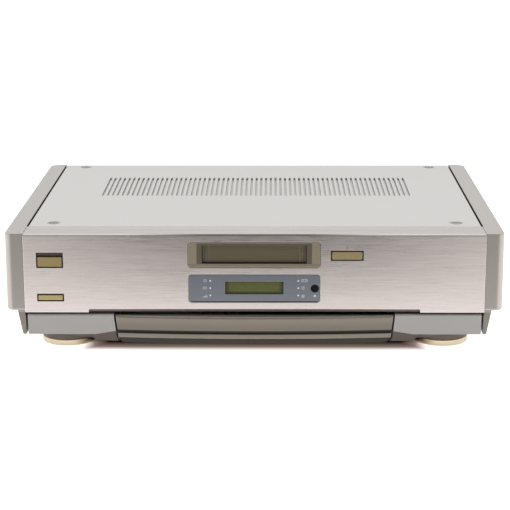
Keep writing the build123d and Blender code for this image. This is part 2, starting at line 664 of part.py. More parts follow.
def tray_belt():
    """Round rubber belt between the two pulleys."""
    gear, motor = Vector(GEAR_X, GEAR_Y), Vector(MOTOR_X, MOTOR_Y)
    span = motor - gear
    bearing = math.atan2(span.Y, span.X)
    tilt = math.acos((PULLEY_R - MOTOR_PULLEY_R) / span.length)

    def rim(centre, radius, angle):
        return (centre.X + radius * math.cos(angle), centre.Y + radius * math.sin(angle))

    a1 = rim(gear, PULLEY_R, bearing + tilt)
    a2 = rim(gear, PULLEY_R, bearing + math.pi)
    a3 = rim(gear, PULLEY_R, bearing - tilt)
    b1 = rim(motor, MOTOR_PULLEY_R, bearing + tilt)
    b2 = rim(motor, MOTOR_PULLEY_R, bearing)
    b3 = rim(motor, MOTOR_PULLEY_R, bearing - tilt)
    path = Wire([Line(b1, a1).edge(), ThreePointArc(a1, a2, a3).edge(), Line(a3, b3).edge(),
                 ThreePointArc(b3, b2, b1).edge()])
    path = Pos(0, 0, 30.4) * path
    start = path.edges()[0]
    section = Plane(origin=start @ 0, z_dir=start % 0) * Circle(BELT_R)
    return sweep(section, path)


# ------------------------------------------------------------------ cassette mechanism
MECHA_LEGS = ((-144.0, 64.0), (144.0, 64.0), (-100.0, 206.0), (100.0, 206.0))


def guide_cheeks():
    """Two upright cheeks with the slots that lead the carriage."""
    cheeks = Part()
    for sign in (-1, 1):
        x_in, x_out = sorted((sign * 54.4, sign * 56.0))
        cheek = block(x_in, x_out, 30.0, 126.0, MECHA_Z, 108.0)
        cheek -= block(x_in - 1, x_out + 1, 40.0, 108.0, 91.7, 97.3)
        cheek -= block(x_in - 1, x_out + 1, 40.0, 112.0, 56.0, 80.0)
        cheeks += cheek
    return cheeks


def mecha_posts():
    """Riveted posts: two for the reels, the arm's pivot and two tape guides."""
    px, py = PINCH_PIVOT
    posts = post(px, py, MECHA_Z, 55.6, 4.0) + post(px, py, 55.6, 69.0, 2.0)
    for x in (-REEL_X, REEL_X):
        posts += post(x, REEL_Y, MECHA_Z, 48.0, 4.0) + post(x, REEL_Y, 48.0, 60.4, 1.5)
    for x in (-30.0, 30.0):
        posts += post(x, 156.0, MECHA_Z, 74.0, 1.6)
        for z in (54.0, 70.0):
            posts += post(x, 156.0, z, z + 1.6, 3.4)
    return posts


def mecha_base():
    """Pressed plate of the mechanism: legs, guide cheeks and riveted posts."""
    plate = block(-66, 66, 30, 214, MECHA_Z, MECHA_TOP)
    plate += block(-150, 150, 54, 78, MECHA_Z, MECHA_TOP)
    plate += block(-108, 108, 198, 214, MECHA_Z, MECHA_TOP)
    for x, y in MECHA_LEGS:
        plate += post(x, y, FLOOR_Z + SHEET, MECHA_Z, 4.0)
    plate -= block(-30, 30, 170, 192, MECHA_Z - 1, MECHA_TOP + 1)
    return plate + guide_cheeks() + mecha_posts()


def carriage():
    """Sliding frame on four rollers with guide strips for the cassette holder."""
    frame = block(-52.8, 52.8, 52.0, 62.0, 106.0, 107.4)
    for sign in (-1, 1):
        x_in, x_out = sorted((sign * 51.4, sign * 52.8))
        frame += block(x_in, x_out, 42.0, 78.0, 84.0, 107.4)
        x_in, x_out = sorted((sign * 52.6, sign * 56.6))
        for y in (46.0, 74.0):
            frame += bar_x(y, 94.5, x_in, x_out, 2.6)
    return frame


def cassette_holder():
    """Sheet basket that takes the cassette, open below for the reels."""
    wall = 0.9
    (y0, y1), (z0, z1) = HOLDER_Y, HOLDER_Z
    half = HOLDER_HALF
    basket = block(-half - wall, half + wall, y0, y1, z1, z1 + wall)
    for sign in (-1, 1):
        x_in, x_out = sorted((sign * half, sign * (half + wall)))
        basket += block(x_in, x_out, y0, y1, z0 - wall, z1 + wall)
        x_in, x_out = sorted((sign * 36.0, sign * (half + wall)))
        basket += block(x_in, x_out, y0, y1, z0 - wall, z0)
        basket += block(x_in, x_out, y1, y1 + wall, z0 - wall, z1 + wall)
        x_in, x_out = sorted((sign * (half + wall - 0.1), sign * 51.0))
        for y in (50.0, 70.0):
            basket += block(x_in, x_out, y - 2, y + 2, 88.0, 100.0)
    basket -= block(-18, 18, 36, 62, z1 - 1, z1 + 2)
    return basket


def head_drum_lower():
    """Fixed lower drum with its flange."""
    lower = post(0, DRUM_Y, MECHA_TOP, 50.0, 24.0) + post(0, DRUM_Y, 50.0, 60.0, DRUM_R)
    return lower - post(0, DRUM_Y, 40, 70, 3.0 + RUNNING)


def head_drum():
    """Turning upper drum on its shaft, with four head windows and a slotted cap."""
    drum = post(0, DRUM_Y, 60.4, 74.0, DRUM_R) + post(0, DRUM_Y, 46.0, 60.4, 3.0)
    drum = chamfer(drum.edges().filter_by(GeomType.CIRCLE).group_by(Axis.Z)[-1], 0.6)
    for angle in range(0, 360, 90):
        turn = Pos(0, DRUM_Y, 0) * Rot(0, 0, angle)
        drum -= turn * block(DRUM_R - 1.0, DRUM_R + 2, -2.0, 2.0, 60, 63.0)
    drum += post(0, DRUM_Y, 74.0, 76.0, 9.0)
    return drum


def reel(x):
    """Reel table with a splined spindle."""
    table = post(x, REEL_Y, 48.4, 51.4, 15.0) + post(x, REEL_Y, 51.4, 62.0, 4.2)
    for angle in range(0, 360, 60):
        table += Pos(x, REEL_Y, 0) * Rot(0, 0, angle) * block(3.6, 5.6, -0.6, 0.6, 51.4, 60.0)
    return table - post(x, REEL_Y, 40, 61.0, 1.5 + RUNNING)


def capstan():
    """Capstan shaft with its flywheel under the plate."""
    wheel = post(CAPSTAN_X, CAPSTAN_Y, MECHA_TOP + 1.0, 50.0, 12.0)
    return wheel + post(CAPSTAN_X, CAPSTAN_Y, 50.0, 76.0, 1.5)


def pinch_arm():
    """Swinging lever of the pinch roller."""
    (px, py), (rx, ry) = PINCH_PIVOT, PINCH_REST
    angle = math.degrees(math.atan2(ry - py, rx - px))
    length = math.hypot(rx - px, ry - py)
    lever = Pos(px, py, 0) * Rot(0, 0, angle) * block(0, length, -2.4, 2.4, 66.0, 67.6)
    lever += post(px, py, 56.0, 67.6, 3.6) + post(rx, ry, 58.0, 67.6, 1.5)
    return lever - post(px, py, 50, 70, 2.0 + RUNNING)


def pinch_roller():
    """Rubber faced roller on the arm."""
    rx, ry = PINCH_REST
    return post(rx, ry, 58.4, 65.6, 5.0) - post(rx, ry, 50, 70, 1.5 + RUNNING)


def loading_motor():
    """Motor that draws the cassette in."""
    can = bar_y(-48.0, 57.0, 150.0, 180.0, 9.5)
    can += block(-58, -38, 149.0, 150.0, MECHA_TOP, 68.0)
    return can + block(-56, -40, 152.0, 178.0, MECHA_TOP, 50.0)


# ------------------------------------------------------------------ electronics
def board_legs(places, z):
    """Pillars under a board."""
    return [post(x, y, FLOOR_Z + SHEET, z, 3.0) for x, y in places]


def main_board():
    """Main board across the back with its larger chips and cans."""
    z = 30.0
    board = block(-140, 204, 222, 322, z, z + 1.6)
    for x0, x1, y0, y1, tall in ((-120, -84, 240, 276, 3), (-60, -32, 236, 264, 3),
                                 (0, 44, 240, 300, 14), (70, 98, 250, 278, 3),
                                 (130, 186, 236, 306, 18)):
        board += block(x0, x1, y0, y1, z + 1.5, z + tall)
    for x, y in ((-20, 290), (-8, 290), (56, 300), (56, 286), (112, 240)):
        board += post(x, y, z + 1.5, z + 13, 4.0)
    for leg in board_legs(((-130, 230), (-130, 314), (194, 230), (194, 314), (30, 230)), z):
        board += leg
    return board


def power_board():
    """Power supply board with capacitors and a coil."""
    z = 22.0
    board = block(-208, -158, 100, 250, z, z + 1.6)
    for x, y, radius, tall in ((-190, 228, 11, 34), (-190, 200, 9, 28), (-170, 228, 6, 20),
                               (-170, 210, 6, 20), (-196, 174, 8, 22), (-172, 174, 5, 14)):
        board += post(x, y, z + 1.5, z + tall, radius)
    board += block(-200, -180, 114, 138, z + 1.5, z + 22)
    for leg in board_legs(((-203, 105), (-163, 105), (-203, 245), (-163, 245)), z):
        board += leg
    return board


def heat_sink():
    """Finned aluminium heat sink that stands on the power board."""
    z = 23.6
    sink = block(-166, -163, 118, 158, z, z + 34)
    for y in range(120, 158, 6):
        sink += block(-163, -159, y - 0.8, y + 0.8, z, z + 34)
    return sink


def transformer():
    """Mains transformer: laminated core, wound bobbin and mounting feet."""
    base = FLOOR_Z + SHEET
    core = block(-206, -158, 266, 308, base + 2, base + 42)
    core += block(-202, -162, 257, 266, base + 9, base + 35)
    core += block(-202, -162, 308, 317, base + 9, base + 35)
    return core + block(-206, -150, 272, 302, base, base + 2)


def jack_board():
    """Upright board of the rear sockets."""
    board = block(8, 146, 326.0, 327.6, 44, 96)
    for x in (14, 140):
        board += block(x - 4, x + 4, 318.0, 326.0, 44, 50)
    return board


def av_jacks():
    """Six phono sockets: moulded body, metal shell and centre contact sleeve."""
    jacks = []
    for x in RCA_X:
        jack = block(x - 6.4, x + 6.4, 327.6, REAR_Y - 0.2, RCA_Z - 7, RCA_Z + 7)
        jack += bar_y(x, RCA_Z, REAR_Y - 0.2, REAR_Y + REAR_T + 1.0, 5.0)
        jack += bar_y(x, RCA_Z, REAR_Y, JACK_REACH, 4.15)
        jack -= bar_y(x, RCA_Z, REAR_Y + 3, JACK_REACH + 1, 3.4)
        core = bar_y(x, RCA_Z, REAR_Y + 2, JACK_REACH - 0.6, 2.6)
        jacks.append(jack + core - bar_y(x, RCA_Z, REAR_Y + 3, JACK_REACH + 1, 1.6))
    return jacks


def svideo_jacks():
    """Two four-pole round sockets."""
    jacks = []
    for x in SVIDEO_X:
        jack = block(x - 7, x + 7, 327.6, REAR_Y - 0.2, SVIDEO_Z - 7, SVIDEO_Z + 7)
        jack += bar_y(x, SVIDEO_Z, REAR_Y - 0.2, REAR_Y + 2.6, 6.0)
        jack -= bar_y(x, SVIDEO_Z, REAR_Y - 6, REAR_Y + 5, 4.8)
        jack += bar_y(x, SVIDEO_Z, REAR_Y - 7, REAR_Y + 2.0, 3.7)
        for dx, dz in ((-1.7, -1.2), (1.7, -1.2), (-2.3, 1.0), (2.3, 1.0)):
            jack -= bar_y(x + dx, SVIDEO_Z + dz, REAR_Y - 3, REAR_Y + 5, 0.5)
        jacks.append(jack)
    return jacks


def control_jack():
    """Small remote control socket."""
    body = block(CONTROL_X - 6, CONTROL_X + 6, 327.6, REAR_Y - 0.2, CONTROL_Z - 5, CONTROL_Z + 5)
    body += bar_y(CONTROL_X, CONTROL_Z, REAR_Y - 0.2, REAR_Y + 3.0, 3.0)
    return body - bar_y(CONTROL_X, CONTROL_Z, REAR_Y - 8, REAR_Y + 5, 1.3)


def ac_inlet():
    """Two-pole mains inlet: a recess in the shape of an eight with two pins."""
    inlet = block(INLET_X - 12, INLET_X + 12, REAR_Y - 16, REAR_Y + 0.6, INLET_Z - 8,
                  INLET_Z + 8)
    inlet += block(INLET_X - 14.5, INLET_X + 14.5, REAR_Y + REAR_T, REAR_Y + 2.8,
                   INLET_Z - 10, INLET_Z + 10)
    inlet += block(INLET_X - 12, INLET_X + 12, REAR_Y, REAR_Y + 2, INLET_Z - 8, INLET_Z + 8)
    recess = front_prism(Pos(INLET_X, INLET_Z) * SlotOverall(17.8, 9.2), REAR_Y - 12, REAR_Y + 9)
    inlet -= recess
    for dx in (-4.3, 4.3):
        inlet += bar_y(INLET_X + dx, INLET_Z, REAR_Y - 13, REAR_Y - 1.5, 1.2)
    return inlet


# ------------------------------------------------------------------ all nodes
def main():
    """Build every piece and write one file for each node."""
    os.makedirs("parts", exist_ok=True)
    place("top_cover", top_cover(), vent_screen())
    place("cover_screws", *cover_screws())
    place("front_panel", front_panel())
    place("front_subframe", front_subframe())
    place("side_panel_right", side_panel())
    place("side_panel_left", mirrored(side_panel()))
    place("wing_right", wing())
    place("wing_left", mirrored(wing()))
    place("base_pan", base_pan())
    place("rear_panel", rear_panel())
    cups, rings, pads, screws = feet()
    place("case_screws", *rear_screws(), *screws)
    place("foot_cups", *cups)
    place("foot_rings", *rings)
    place("foot_pads", *pads)

    place("cassette_bezel", cassette_bezel())
    place("cassette_flap", cassette_flap())
    place("flap_pin", flap_pin())
    place("display_window", display_window())
    place("lcd_module", lcd_module())
    place("light_pipes", *light_pipes())
    place("ir_receiver", ir_receiver())
    place("power_button", button_cap(POWER_BOX, 0.6, POWER_LEDGE, POWER_STEM))
    place("panel_button", button_cap(PANEL_BOX, 0.8, 0, PANEL_STEM))
    place("eject_button", button_cap(EJECT_BOX, 1.0, 0, EJECT_STEM))
    place("power_ledge", power_ledge())
    place("front_boards", *front_boards())

    place("tray_fascia", tray_fascia())
    place("tray_body", tray_body())
    place("tray_deck", tray_deck())
    place("tray_board", tray_board(), shuttle_encoder())
    for name, box in KEYS.items():
        place(name, tray_key(box))
    place("shuttle_ring", shuttle_ring())
    place("jog_dial", jog_dial())
    place("tray_guides", *tray_guides())
    place("tray_gear", tray_gear())
    place("tray_motor", tray_motor())
    place("motor_pulley", motor_pulley())
    place("tray_belt", tray_belt())

    place("mecha_base", mecha_base())
    place("carriage", carriage())
    place("cassette_holder", cassette_holder())
    place("head_drum_lower", head_drum_lower())
    place("head_drum", head_drum())
    place("supply_reel", reel(-REEL_X))
    place("takeup_reel", reel(REEL_X))
    place("capstan", capstan())
    place("pinch_arm", pinch_arm())
    place("pinch_roller", pinch_roller())
    place("loading_motor", loading_motor())

    place("main_boards", main_board(), jack_board())
    place("power_board", power_board(), heat_sink())
    place("transformer", transformer())
    place("av_jacks", *av_jacks())
    place("round_sockets", *svideo_jacks(), control_jack())
    place("ac_inlet", ac_inlet())


main()
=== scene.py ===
import math

import bmesh
import bpy
from bpy.props import FloatProperty, FloatVectorProperty, PointerProperty
from bpy.types import Operator, Panel, PropertyGroup
from mathutils import Matrix, Vector


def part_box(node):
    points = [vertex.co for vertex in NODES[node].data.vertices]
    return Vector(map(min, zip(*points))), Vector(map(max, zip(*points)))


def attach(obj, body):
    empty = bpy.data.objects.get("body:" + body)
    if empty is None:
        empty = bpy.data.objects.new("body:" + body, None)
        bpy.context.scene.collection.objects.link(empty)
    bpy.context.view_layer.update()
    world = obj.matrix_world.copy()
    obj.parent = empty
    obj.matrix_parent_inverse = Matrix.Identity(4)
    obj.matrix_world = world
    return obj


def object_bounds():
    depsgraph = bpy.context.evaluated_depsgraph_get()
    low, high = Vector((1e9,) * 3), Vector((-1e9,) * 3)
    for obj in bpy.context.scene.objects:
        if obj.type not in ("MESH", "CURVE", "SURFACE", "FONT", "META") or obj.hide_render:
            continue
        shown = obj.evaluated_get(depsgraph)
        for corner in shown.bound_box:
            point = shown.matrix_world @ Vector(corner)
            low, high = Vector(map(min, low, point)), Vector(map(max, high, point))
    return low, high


bl_info = {
    "name": "Video Cassette Recorder Looks",
    "version": (1, 0, 0),
    "blender": (4, 5, 0),
    "location": "3D View > Sidebar > Recorder",
    "description": "Dresses a compact video cassette recorder: case, front, tray, mechanism and boards",
    "category": "Object",
}

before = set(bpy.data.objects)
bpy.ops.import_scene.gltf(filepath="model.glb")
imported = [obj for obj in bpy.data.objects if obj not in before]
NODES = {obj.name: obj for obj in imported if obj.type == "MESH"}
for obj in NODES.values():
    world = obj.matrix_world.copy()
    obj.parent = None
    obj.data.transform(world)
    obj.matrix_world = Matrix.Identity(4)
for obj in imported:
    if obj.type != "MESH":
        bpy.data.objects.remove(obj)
cad_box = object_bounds()
MM = 0.001
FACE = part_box("front_panel")[0][1]        # depth of the front panel's face


def corners(node):
    """Lowest and highest corner of a CAD node at rest."""
    return tuple(Vector(corner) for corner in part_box(node))


def centre_of(node):
    """Middle of a CAD node's box."""
    low, high = corners(node)
    return (low + high) / 2


# ---- colours and sizes
def tint(red, green, blue):
    """A colour given as 0 to 255 on screen, as the linear colour that nodes use."""
    def linear(value):
        share = value / 255
        if share <= 0.04045:
            return share / 12.92
        return ((share + 0.055) / 1.055) ** 2.4

    return (linear(red), linear(green), linear(blue))


def scaled(base, factor):
    """A colour made darker or lighter."""
    return tuple(min(1.0, channel * factor) for channel in base)


def colour(name, description, default):
    """A colour property."""
    return FloatVectorProperty(name=name, description=description, subtype="COLOR", size=3,
                               min=0.0, max=1.0, default=default)


def number(name, description, default, least=0.0, **more):
    """A property for a number that has a least value."""
    return FloatProperty(name=name, description=description, default=default, min=least, **more)


def length(name, description, default):
    """A length property in metres."""
    return number(name, description, default, subtype="DISTANCE", unit="LENGTH", precision=5)


def angle(name, description, degrees):
    """An angle property, given in degrees."""
    return FloatProperty(name=name, description=description, default=math.radians(degrees),
                         subtype="ANGLE")


class RecorderColours(PropertyGroup):
    """Colours of the recorder's finishes."""

    front: colour("Front", "Champagne anodised front panel", tint(223, 216, 213))
    cover: colour("Cover", "Pale grey painted cover", tint(211, 209, 207))
    side: colour("Side", "Metallic grey side panels", tint(196, 192, 187))
    wing: colour("Wing", "Metallic grey wings beside the tray", tint(178, 177, 175))
    tray: colour("Tray", "Metallic taupe tray front", tint(147, 139, 129))
    bezel: colour("Bezel", "Olive frame of the cassette slot", tint(162, 153, 131))
    flap: colour("Flap", "Smoked door of the cassette slot", tint(117, 110, 86))
    gold: colour("Gold", "Satin gold of the buttons and keys", tint(190, 172, 124))
    window: colour("Window", "Blue-grey print of the display window", tint(129, 135, 145))
    crystal: colour("Crystal", "Green of the unlit display", tint(112, 116, 64))
    ring: colour("Ring", "Gold plating of the foot rings", tint(252, 236, 206))
    cup: colour("Cup", "Warm grey plastic of the feet", tint(152, 140, 128))
    subframe: colour("Subframe", "Warm grey moulding behind the front", tint(128, 119, 112))
    dark: colour("Dark", "Black moulded plastic", tint(30, 30, 31))
    steel: colour("Steel", "Zinc plated sheet", tint(170, 170, 168))
    lacquer: colour("Lacquer", "Green lacquer of the boards", tint(28, 84, 48))


class RecorderSizes(PropertyGroup):
    """Sizes of the printed marks."""

    print_lift: length("Print", "Thickness of printed marks", 0.04 * MM)
    mark: length("Mark", "Height of the symbols on buttons and keys", 2.6 * MM)


class StudioSettings(PropertyGroup):
    """Light, floor and camera."""

    key_power: number("Key", "Power of the lamp overhead", 11.0, unit="POWER")
    side_power: number("Sides", "Power of the two side lamps", 4.5, unit="POWER")
    sky: number("Sky", "Strength of the even light around", 0.55)
    room: number("Room", "How bright the room in front mirrors in gloss", 0.10)
    mirror: number("Mirror", "How bright the backdrop mirrors in gloss", 0.78)
    lens: number("Lens", "Focal length on a 36 mm sensor", 115.9, least=1.0,
                 subtype="DISTANCE_CAMERA")
    pitch: angle("Pitch", "How far the camera looks down", 13.874)
    yaw: angle("Yaw", "How far the camera turns to the left", 0.589)
    roll: angle("Roll", "Turn of the camera about its own axis", -0.105)
    place: FloatVectorProperty(name="Place", description="Where the camera stands",
                               default=(0.0159, FACE - 1.4777, 0.4595), subtype="XYZ",
                               unit="LENGTH")


# ---- node helpers
def is_socket(value):
    """Whether a value is a node's socket and not a plain number or colour."""
    return hasattr(value, "is_output")


def fill(node, inputs):
    """Fill a node's inputs: a socket is linked, a plain value is set."""
    for label, value in inputs.items():
        if is_socket(value):
            node.id_data.links.new(value, node.inputs[label])
        else:
            node.inputs[label].default_value = value
    return node


def add(tree, kind, inputs=None, **settings):
    """A new node with its settings made and its inputs filled."""
    node = tree.nodes.new(kind)
    for label, value in settings.items():
        setattr(node, label, value)
    return fill(node, inputs or {})


def maths(tree, operation, first, second=0.0):
    """A Math node's output."""
    return add(tree, "ShaderNodeMath", {0: first, 1: second}, operation=operation).outputs[0]


def times(tree, first, second):
    """Product of two values."""
    return maths(tree, "MULTIPLY", first, second)


def plus(tree, first, second):
    """Sum of two values."""
    return maths(tree, "ADD", first, second)


def away_from(tree, value, middle):
    """Distance of a value from a middle."""
    return maths(tree, "ABSOLUTE", maths(tree, "SUBTRACT", value, middle))


def spread(tree, source, low, high, to_low=0.0, to_high=1.0):
    """Map a value from one range to another, clamped."""
    return add(tree, "ShaderNodeMapRange",
               {0: source, 1: low, 2: high, 3: to_low, 4: to_high}).outputs[0]


def vectors(tree, operation, first, second=(0, 0, 0)):
    """A Vector Math node's outputs: the vector, then the value."""
    return add(tree, "ShaderNodeVectorMath", {0: first, 1: second}, operation=operation).outputs


def coordinates(tree, kind="Object"):
    """Texture coordinates, in the object's own metres where no other kind is named."""
    return add(tree, "ShaderNodeTexCoord").outputs[kind]


def axes(tree, vector=None):
    """The x, y and z of a vector, or of the place on the object."""
    where = coordinates(tree) if vector is None else vector
    return add(tree, "ShaderNodeSeparateXYZ", {0: where}).outputs


def noise(tree, vector, scale, detail=3.0, rough=0.55):
    """A noise value between 0 and 1."""
    return add(tree, "ShaderNodeTexNoise", {"Vector": vector, "Scale": scale, "Detail": detail,
                                            "Roughness": rough}).outputs["Fac"]


def mix_colour(tree, mask, first, second):
    """Mix two colours, each a socket or a plain colour, by a mask."""
    first, second = (value if is_socket(value) else (*value, 1.0) for value in (first, second))
    return add(tree, "ShaderNodeMix", {0: mask, 6: first, 7: second},
               data_type="RGBA").outputs[2]


# ---- shared effects
def group_tree(name, inputs, outputs):
    """An empty shader group: its tree, what it is given, and the node for its results."""
    tree = bpy.data.node_groups.new(name, "ShaderNodeTree")
    for label, default in inputs.items():
        kind = "NodeSocketFloat" if isinstance(default, float) else "NodeSocketVector"
        socket = tree.interface.new_socket(label, in_out="INPUT", socket_type=kind)
        socket.default_value = default
    for label in outputs:
        kind = "NodeSocketVector" if label == "Normal" else "NodeSocketFloat"
        tree.interface.new_socket(label, in_out="OUTPUT", socket_type=kind)
    return tree, tree.nodes.new("NodeGroupInput").outputs, tree.nodes.new("NodeGroupOutput")


def brushed_grain():
    """Long fine scratches along x: a shade and a height."""
    tree, given, result = group_tree("brushed_grain", {"Spacing": 0.00045, "Length": 0.05},
                                     ("Shade", "Height"))
    across = maths(tree, "DIVIDE", 1.0, given["Spacing"])
    along = maths(tree, "DIVIDE", 1.0, given["Length"])
    scale = add(tree, "ShaderNodeCombineXYZ", {0: along, 1: across, 2: across}).outputs[0]
    stretched = vectors(tree, "MULTIPLY", coordinates(tree), scale)[0]
    fine = noise(tree, stretched, 1.0, 4.0, 0.7)
    broad = noise(tree, stretched, 0.16, 3.0, 0.6)
    both = plus(tree, times(tree, fine, 0.75), times(tree, broad, 0.25))
    fill(result, {"Shade": spread(tree, both, 0.32, 0.68), "Height": both})
    return tree


def fine_speckle():
    """Small even grain of paint or of a moulded skin: a shade and a height."""
    tree, given, result = group_tree("fine_speckle", {"Size": 0.0004}, ("Shade", "Height"))
    where = coordinates(tree)
    grain = noise(tree, where, maths(tree, "DIVIDE", 1.0, given["Size"]), 2.0, 0.6)
    cloud = noise(tree, where, 14.0)
    shade = plus(tree, times(tree, grain, 0.6), times(tree, cloud, 0.4))
    fill(result, {"Shade": shade, "Height": grain})
    return tree


def rounded_edge_highlight():
    """A softened normal at sharp edges, and a mask of where they are for a painted highlight."""
    tree, given, result = group_tree("rounded_edge_highlight", {"Radius": 0.0004}, ("Normal", "Mask"))
    soft = add(tree, "ShaderNodeBevel", {"Radius": given["Radius"]}, samples=6).outputs[0]
    flat = add(tree, "ShaderNodeNewGeometry").outputs["Normal"]
    same = vectors(tree, "DOT_PRODUCT", soft, flat)["Value"]
    fill(result, {"Normal": soft, "Mask": spread(tree, same, 0.985, 0.90)})
    return tree


def settled_dust():
    """A thin uneven film on what faces up."""
    tree, given, result = group_tree("settled_dust", {"Amount": 0.1}, ("Mask",))
    facing = axes(tree, add(tree, "ShaderNodeNewGeometry").outputs["Normal"])[2]
    patches = spread(tree, noise(tree, coordinates(tree), 45.0, 5.0, 0.65), 0.35, 0.75)
    film = times(tree, patches, spread(tree, facing, 0.2, 1.0))
    fill(result, {"Mask": times(tree, film, given["Amount"])})
    return tree


def turned_rings():
    """Concentric tool marks about an upright axis: a shade and a height."""
    tree, given, result = group_tree("turned_rings", {"Centre": (0, 0, 0), "Spacing": 0.0005},
                                     ("Shade", "Height"))
    offset = vectors(tree, "SUBTRACT", coordinates(tree), given["Centre"])[0]
    flat = vectors(tree, "MULTIPLY", offset, (1, 1, 0))[0]
    radius = vectors(tree, "LENGTH", flat)["Value"]
    turns = maths(tree, "DIVIDE", radius, given["Spacing"])
    wave = spread(tree, maths(tree, "SINE", times(tree, turns, math.tau)), -1, 1)
    fill(result, {"Shade": wave, "Height": wave})
    return tree


GROUPS = {}


def shared_effects():
    """Build each shared group once."""
    for maker in (brushed_grain, fine_speckle, rounded_edge_highlight, settled_dust, turned_rings):
        GROUPS[maker.__name__] = maker()


def effect(tree, name, **values):
    """Place a shared group in a material with its own values."""
    inputs = {label.capitalize(): value for label, value in values.items()}
    return add(tree, "ShaderNodeGroup", inputs, node_tree=GROUPS[name]).outputs


def speckle(size):
    """Grain of paint or plastic, for a finish."""
    return "fine_speckle", {"size": size}


def brushed(spacing, length):
    """Brush lines, for a finish."""
    return "brushed_grain", {"spacing": spacing, "length": length}


# ---- masks and repainting
def zone(tree, low, high, soft=0.0001):
    """A mask that is 1 inside a box given by its two corners in metres."""
    within = []
    for value, start, end in zip(axes(tree), low, high):
        half = (end - start) / 2
        within.append(spread(tree, away_from(tree, value, start + half), half + soft, half))
    return times(tree, times(tree, within[0], within[1]), within[2])


def looking(tree, axis, low, high):
    """A mask from one part of the face's own direction: 0 at low, 1 at high."""
    return spread(tree, axes(tree, coordinates(tree, "Normal"))[axis], low, high)


def shader_of(material):
    """The material's Principled shader."""
    return material.node_tree.nodes["Principled BSDF"]


def repaint(material, mask, paint, metallic=None, rough=None):
    """Give part of a finish another colour, and another sheen where one is named."""
    tree = material.node_tree
    for label, value in (("Base Color", paint), ("Metallic", metallic), ("Roughness", rough)):
        if value is None:
            continue
        socket = shader_of(material).inputs[label]
        before = socket.links[0].from_socket if socket.is_linked else socket.default_value
        if label == "Base Color":
            after = mix_colour(tree, mask, before, value)
        else:
            after = add(tree, "ShaderNodeMix", {0: mask, 2: before, 3: value},
                        data_type="FLOAT").outputs[0]
        tree.links.new(after, socket)
    return material


def repaint_box(material, low, high, paint, metallic=None, rough=None, soft=0.0001):
    """Repaint what lies in a box given by its two corners."""
    return repaint(material, zone(material.node_tree, low, high, soft), paint, metallic, rough)


# ---- materials
GAP_SHADE = tint(34, 33, 32)              # painted shade for inner faces in narrow gaps


def blank(name):
    """A new material with its tree and its shader."""
    material = bpy.data.materials.new(name)
    material.use_nodes = True
    return material, material.node_tree, shader_of(material)


def finish(name, base, metallic=0.0, rough=0.4, swing=0.08, grain=("fine_speckle", {}),
           contrast=0.06, relief=0.00002, edge=0.35 * MM, edge_light=0.25, dust=0.0,
           coat=0.0, specular=0.5):
    """The common build of a finish: base colour, grain, softened edges with a painted highlight and a
    little dust.

    Roughness swings about its middle with the grain, relief is the grain's height and edge
    the radius of the softened edges, both in metres.
    """
    material, tree, shader = blank(name)
    kind, values = grain
    marks = effect(tree, kind, **values)
    edges = effect(tree, "rounded_edge_highlight", radius=edge)
    shade = mix_colour(tree, marks["Shade"], scaled(base, 1 - contrast),
                       scaled(base, 1 + contrast))
    # painted highlight: edges lightened towards white by edge_light
    bright = tuple(channel + (1 - channel) * edge_light for channel in base)
    shade = mix_colour(tree, edges["Mask"], shade, bright)
    if dust:
        film = effect(tree, "settled_dust", amount=dust)["Mask"]
        shade = mix_colour(tree, film, shade, tint(222, 219, 214))
    gloss = spread(tree, marks["Shade"], 0, 1, rough - swing, rough + swing)
    bump = add(tree, "ShaderNodeBump", {"Strength": 0.5, "Distance": relief,
                                        "Height": marks["Height"], "Normal": edges["Normal"]})
    fill(shader, {"Base Color": shade, "Roughness": gloss, "Normal": bump.outputs[0],
                  "Metallic": metallic, "Coat Weight": coat, "Coat Roughness": 0.12,
                  "Specular IOR Level": specular})
    return material


def dress(material, *names):
    """Give CAD nodes their material."""
    for name in names:
        materials = NODES[name].data.materials
        materials.clear()
        materials.append(material)


def metal_front(base):
    """Champagne anodised aluminium, brushed along the front.

    Its rounded upper edge has a painted highlight, with painted shade over the middle of the front.
    """
    material = finish("champagne_brushed", base, metallic=1.0, rough=0.30, swing=0.06,
                      grain=brushed(0.0009, 0.03), contrast=0.13, relief=0.00003,
                      edge=1.0 * MM, edge_light=0.9)
    fill(shader_of(material), {"Anisotropic": 0.4})
    tree = material.node_tree
    low, high = corners("front_panel")
    # painted highlight: a lighter band along the rounded upper edge
    top_edge_highlight = zone(tree, (low.x, FACE - MM, high.z - 1.2 * MM),
                 (high.x, FACE + 1.4 * MM, high.z + MM))
    repaint(material, top_edge_highlight, tint(240, 232, 228), metallic=0.7, rough=0.42)
    # painted shade: that band darkened over the middle of the front
    middle = spread(tree, away_from(tree, axes(tree)[0], 0.0), 0.12, 0.05)
    return repaint(material, times(tree, top_edge_highlight, middle), tint(140, 131, 127))


def button_opening(node, ledge=0.0):
    """Opening of a button in the front panel, as x and z of two corners.

    It is as wide as the cap, which is the node less its flange, and with a ledge over the
    cap it reaches up over that too.
    """
    low, high = corners(node)
    flange = 1.2 * MM
    top = high.z + (ledge or -flange)
    return (low.x + flange, low.z + flange), (high.x - flange, top)


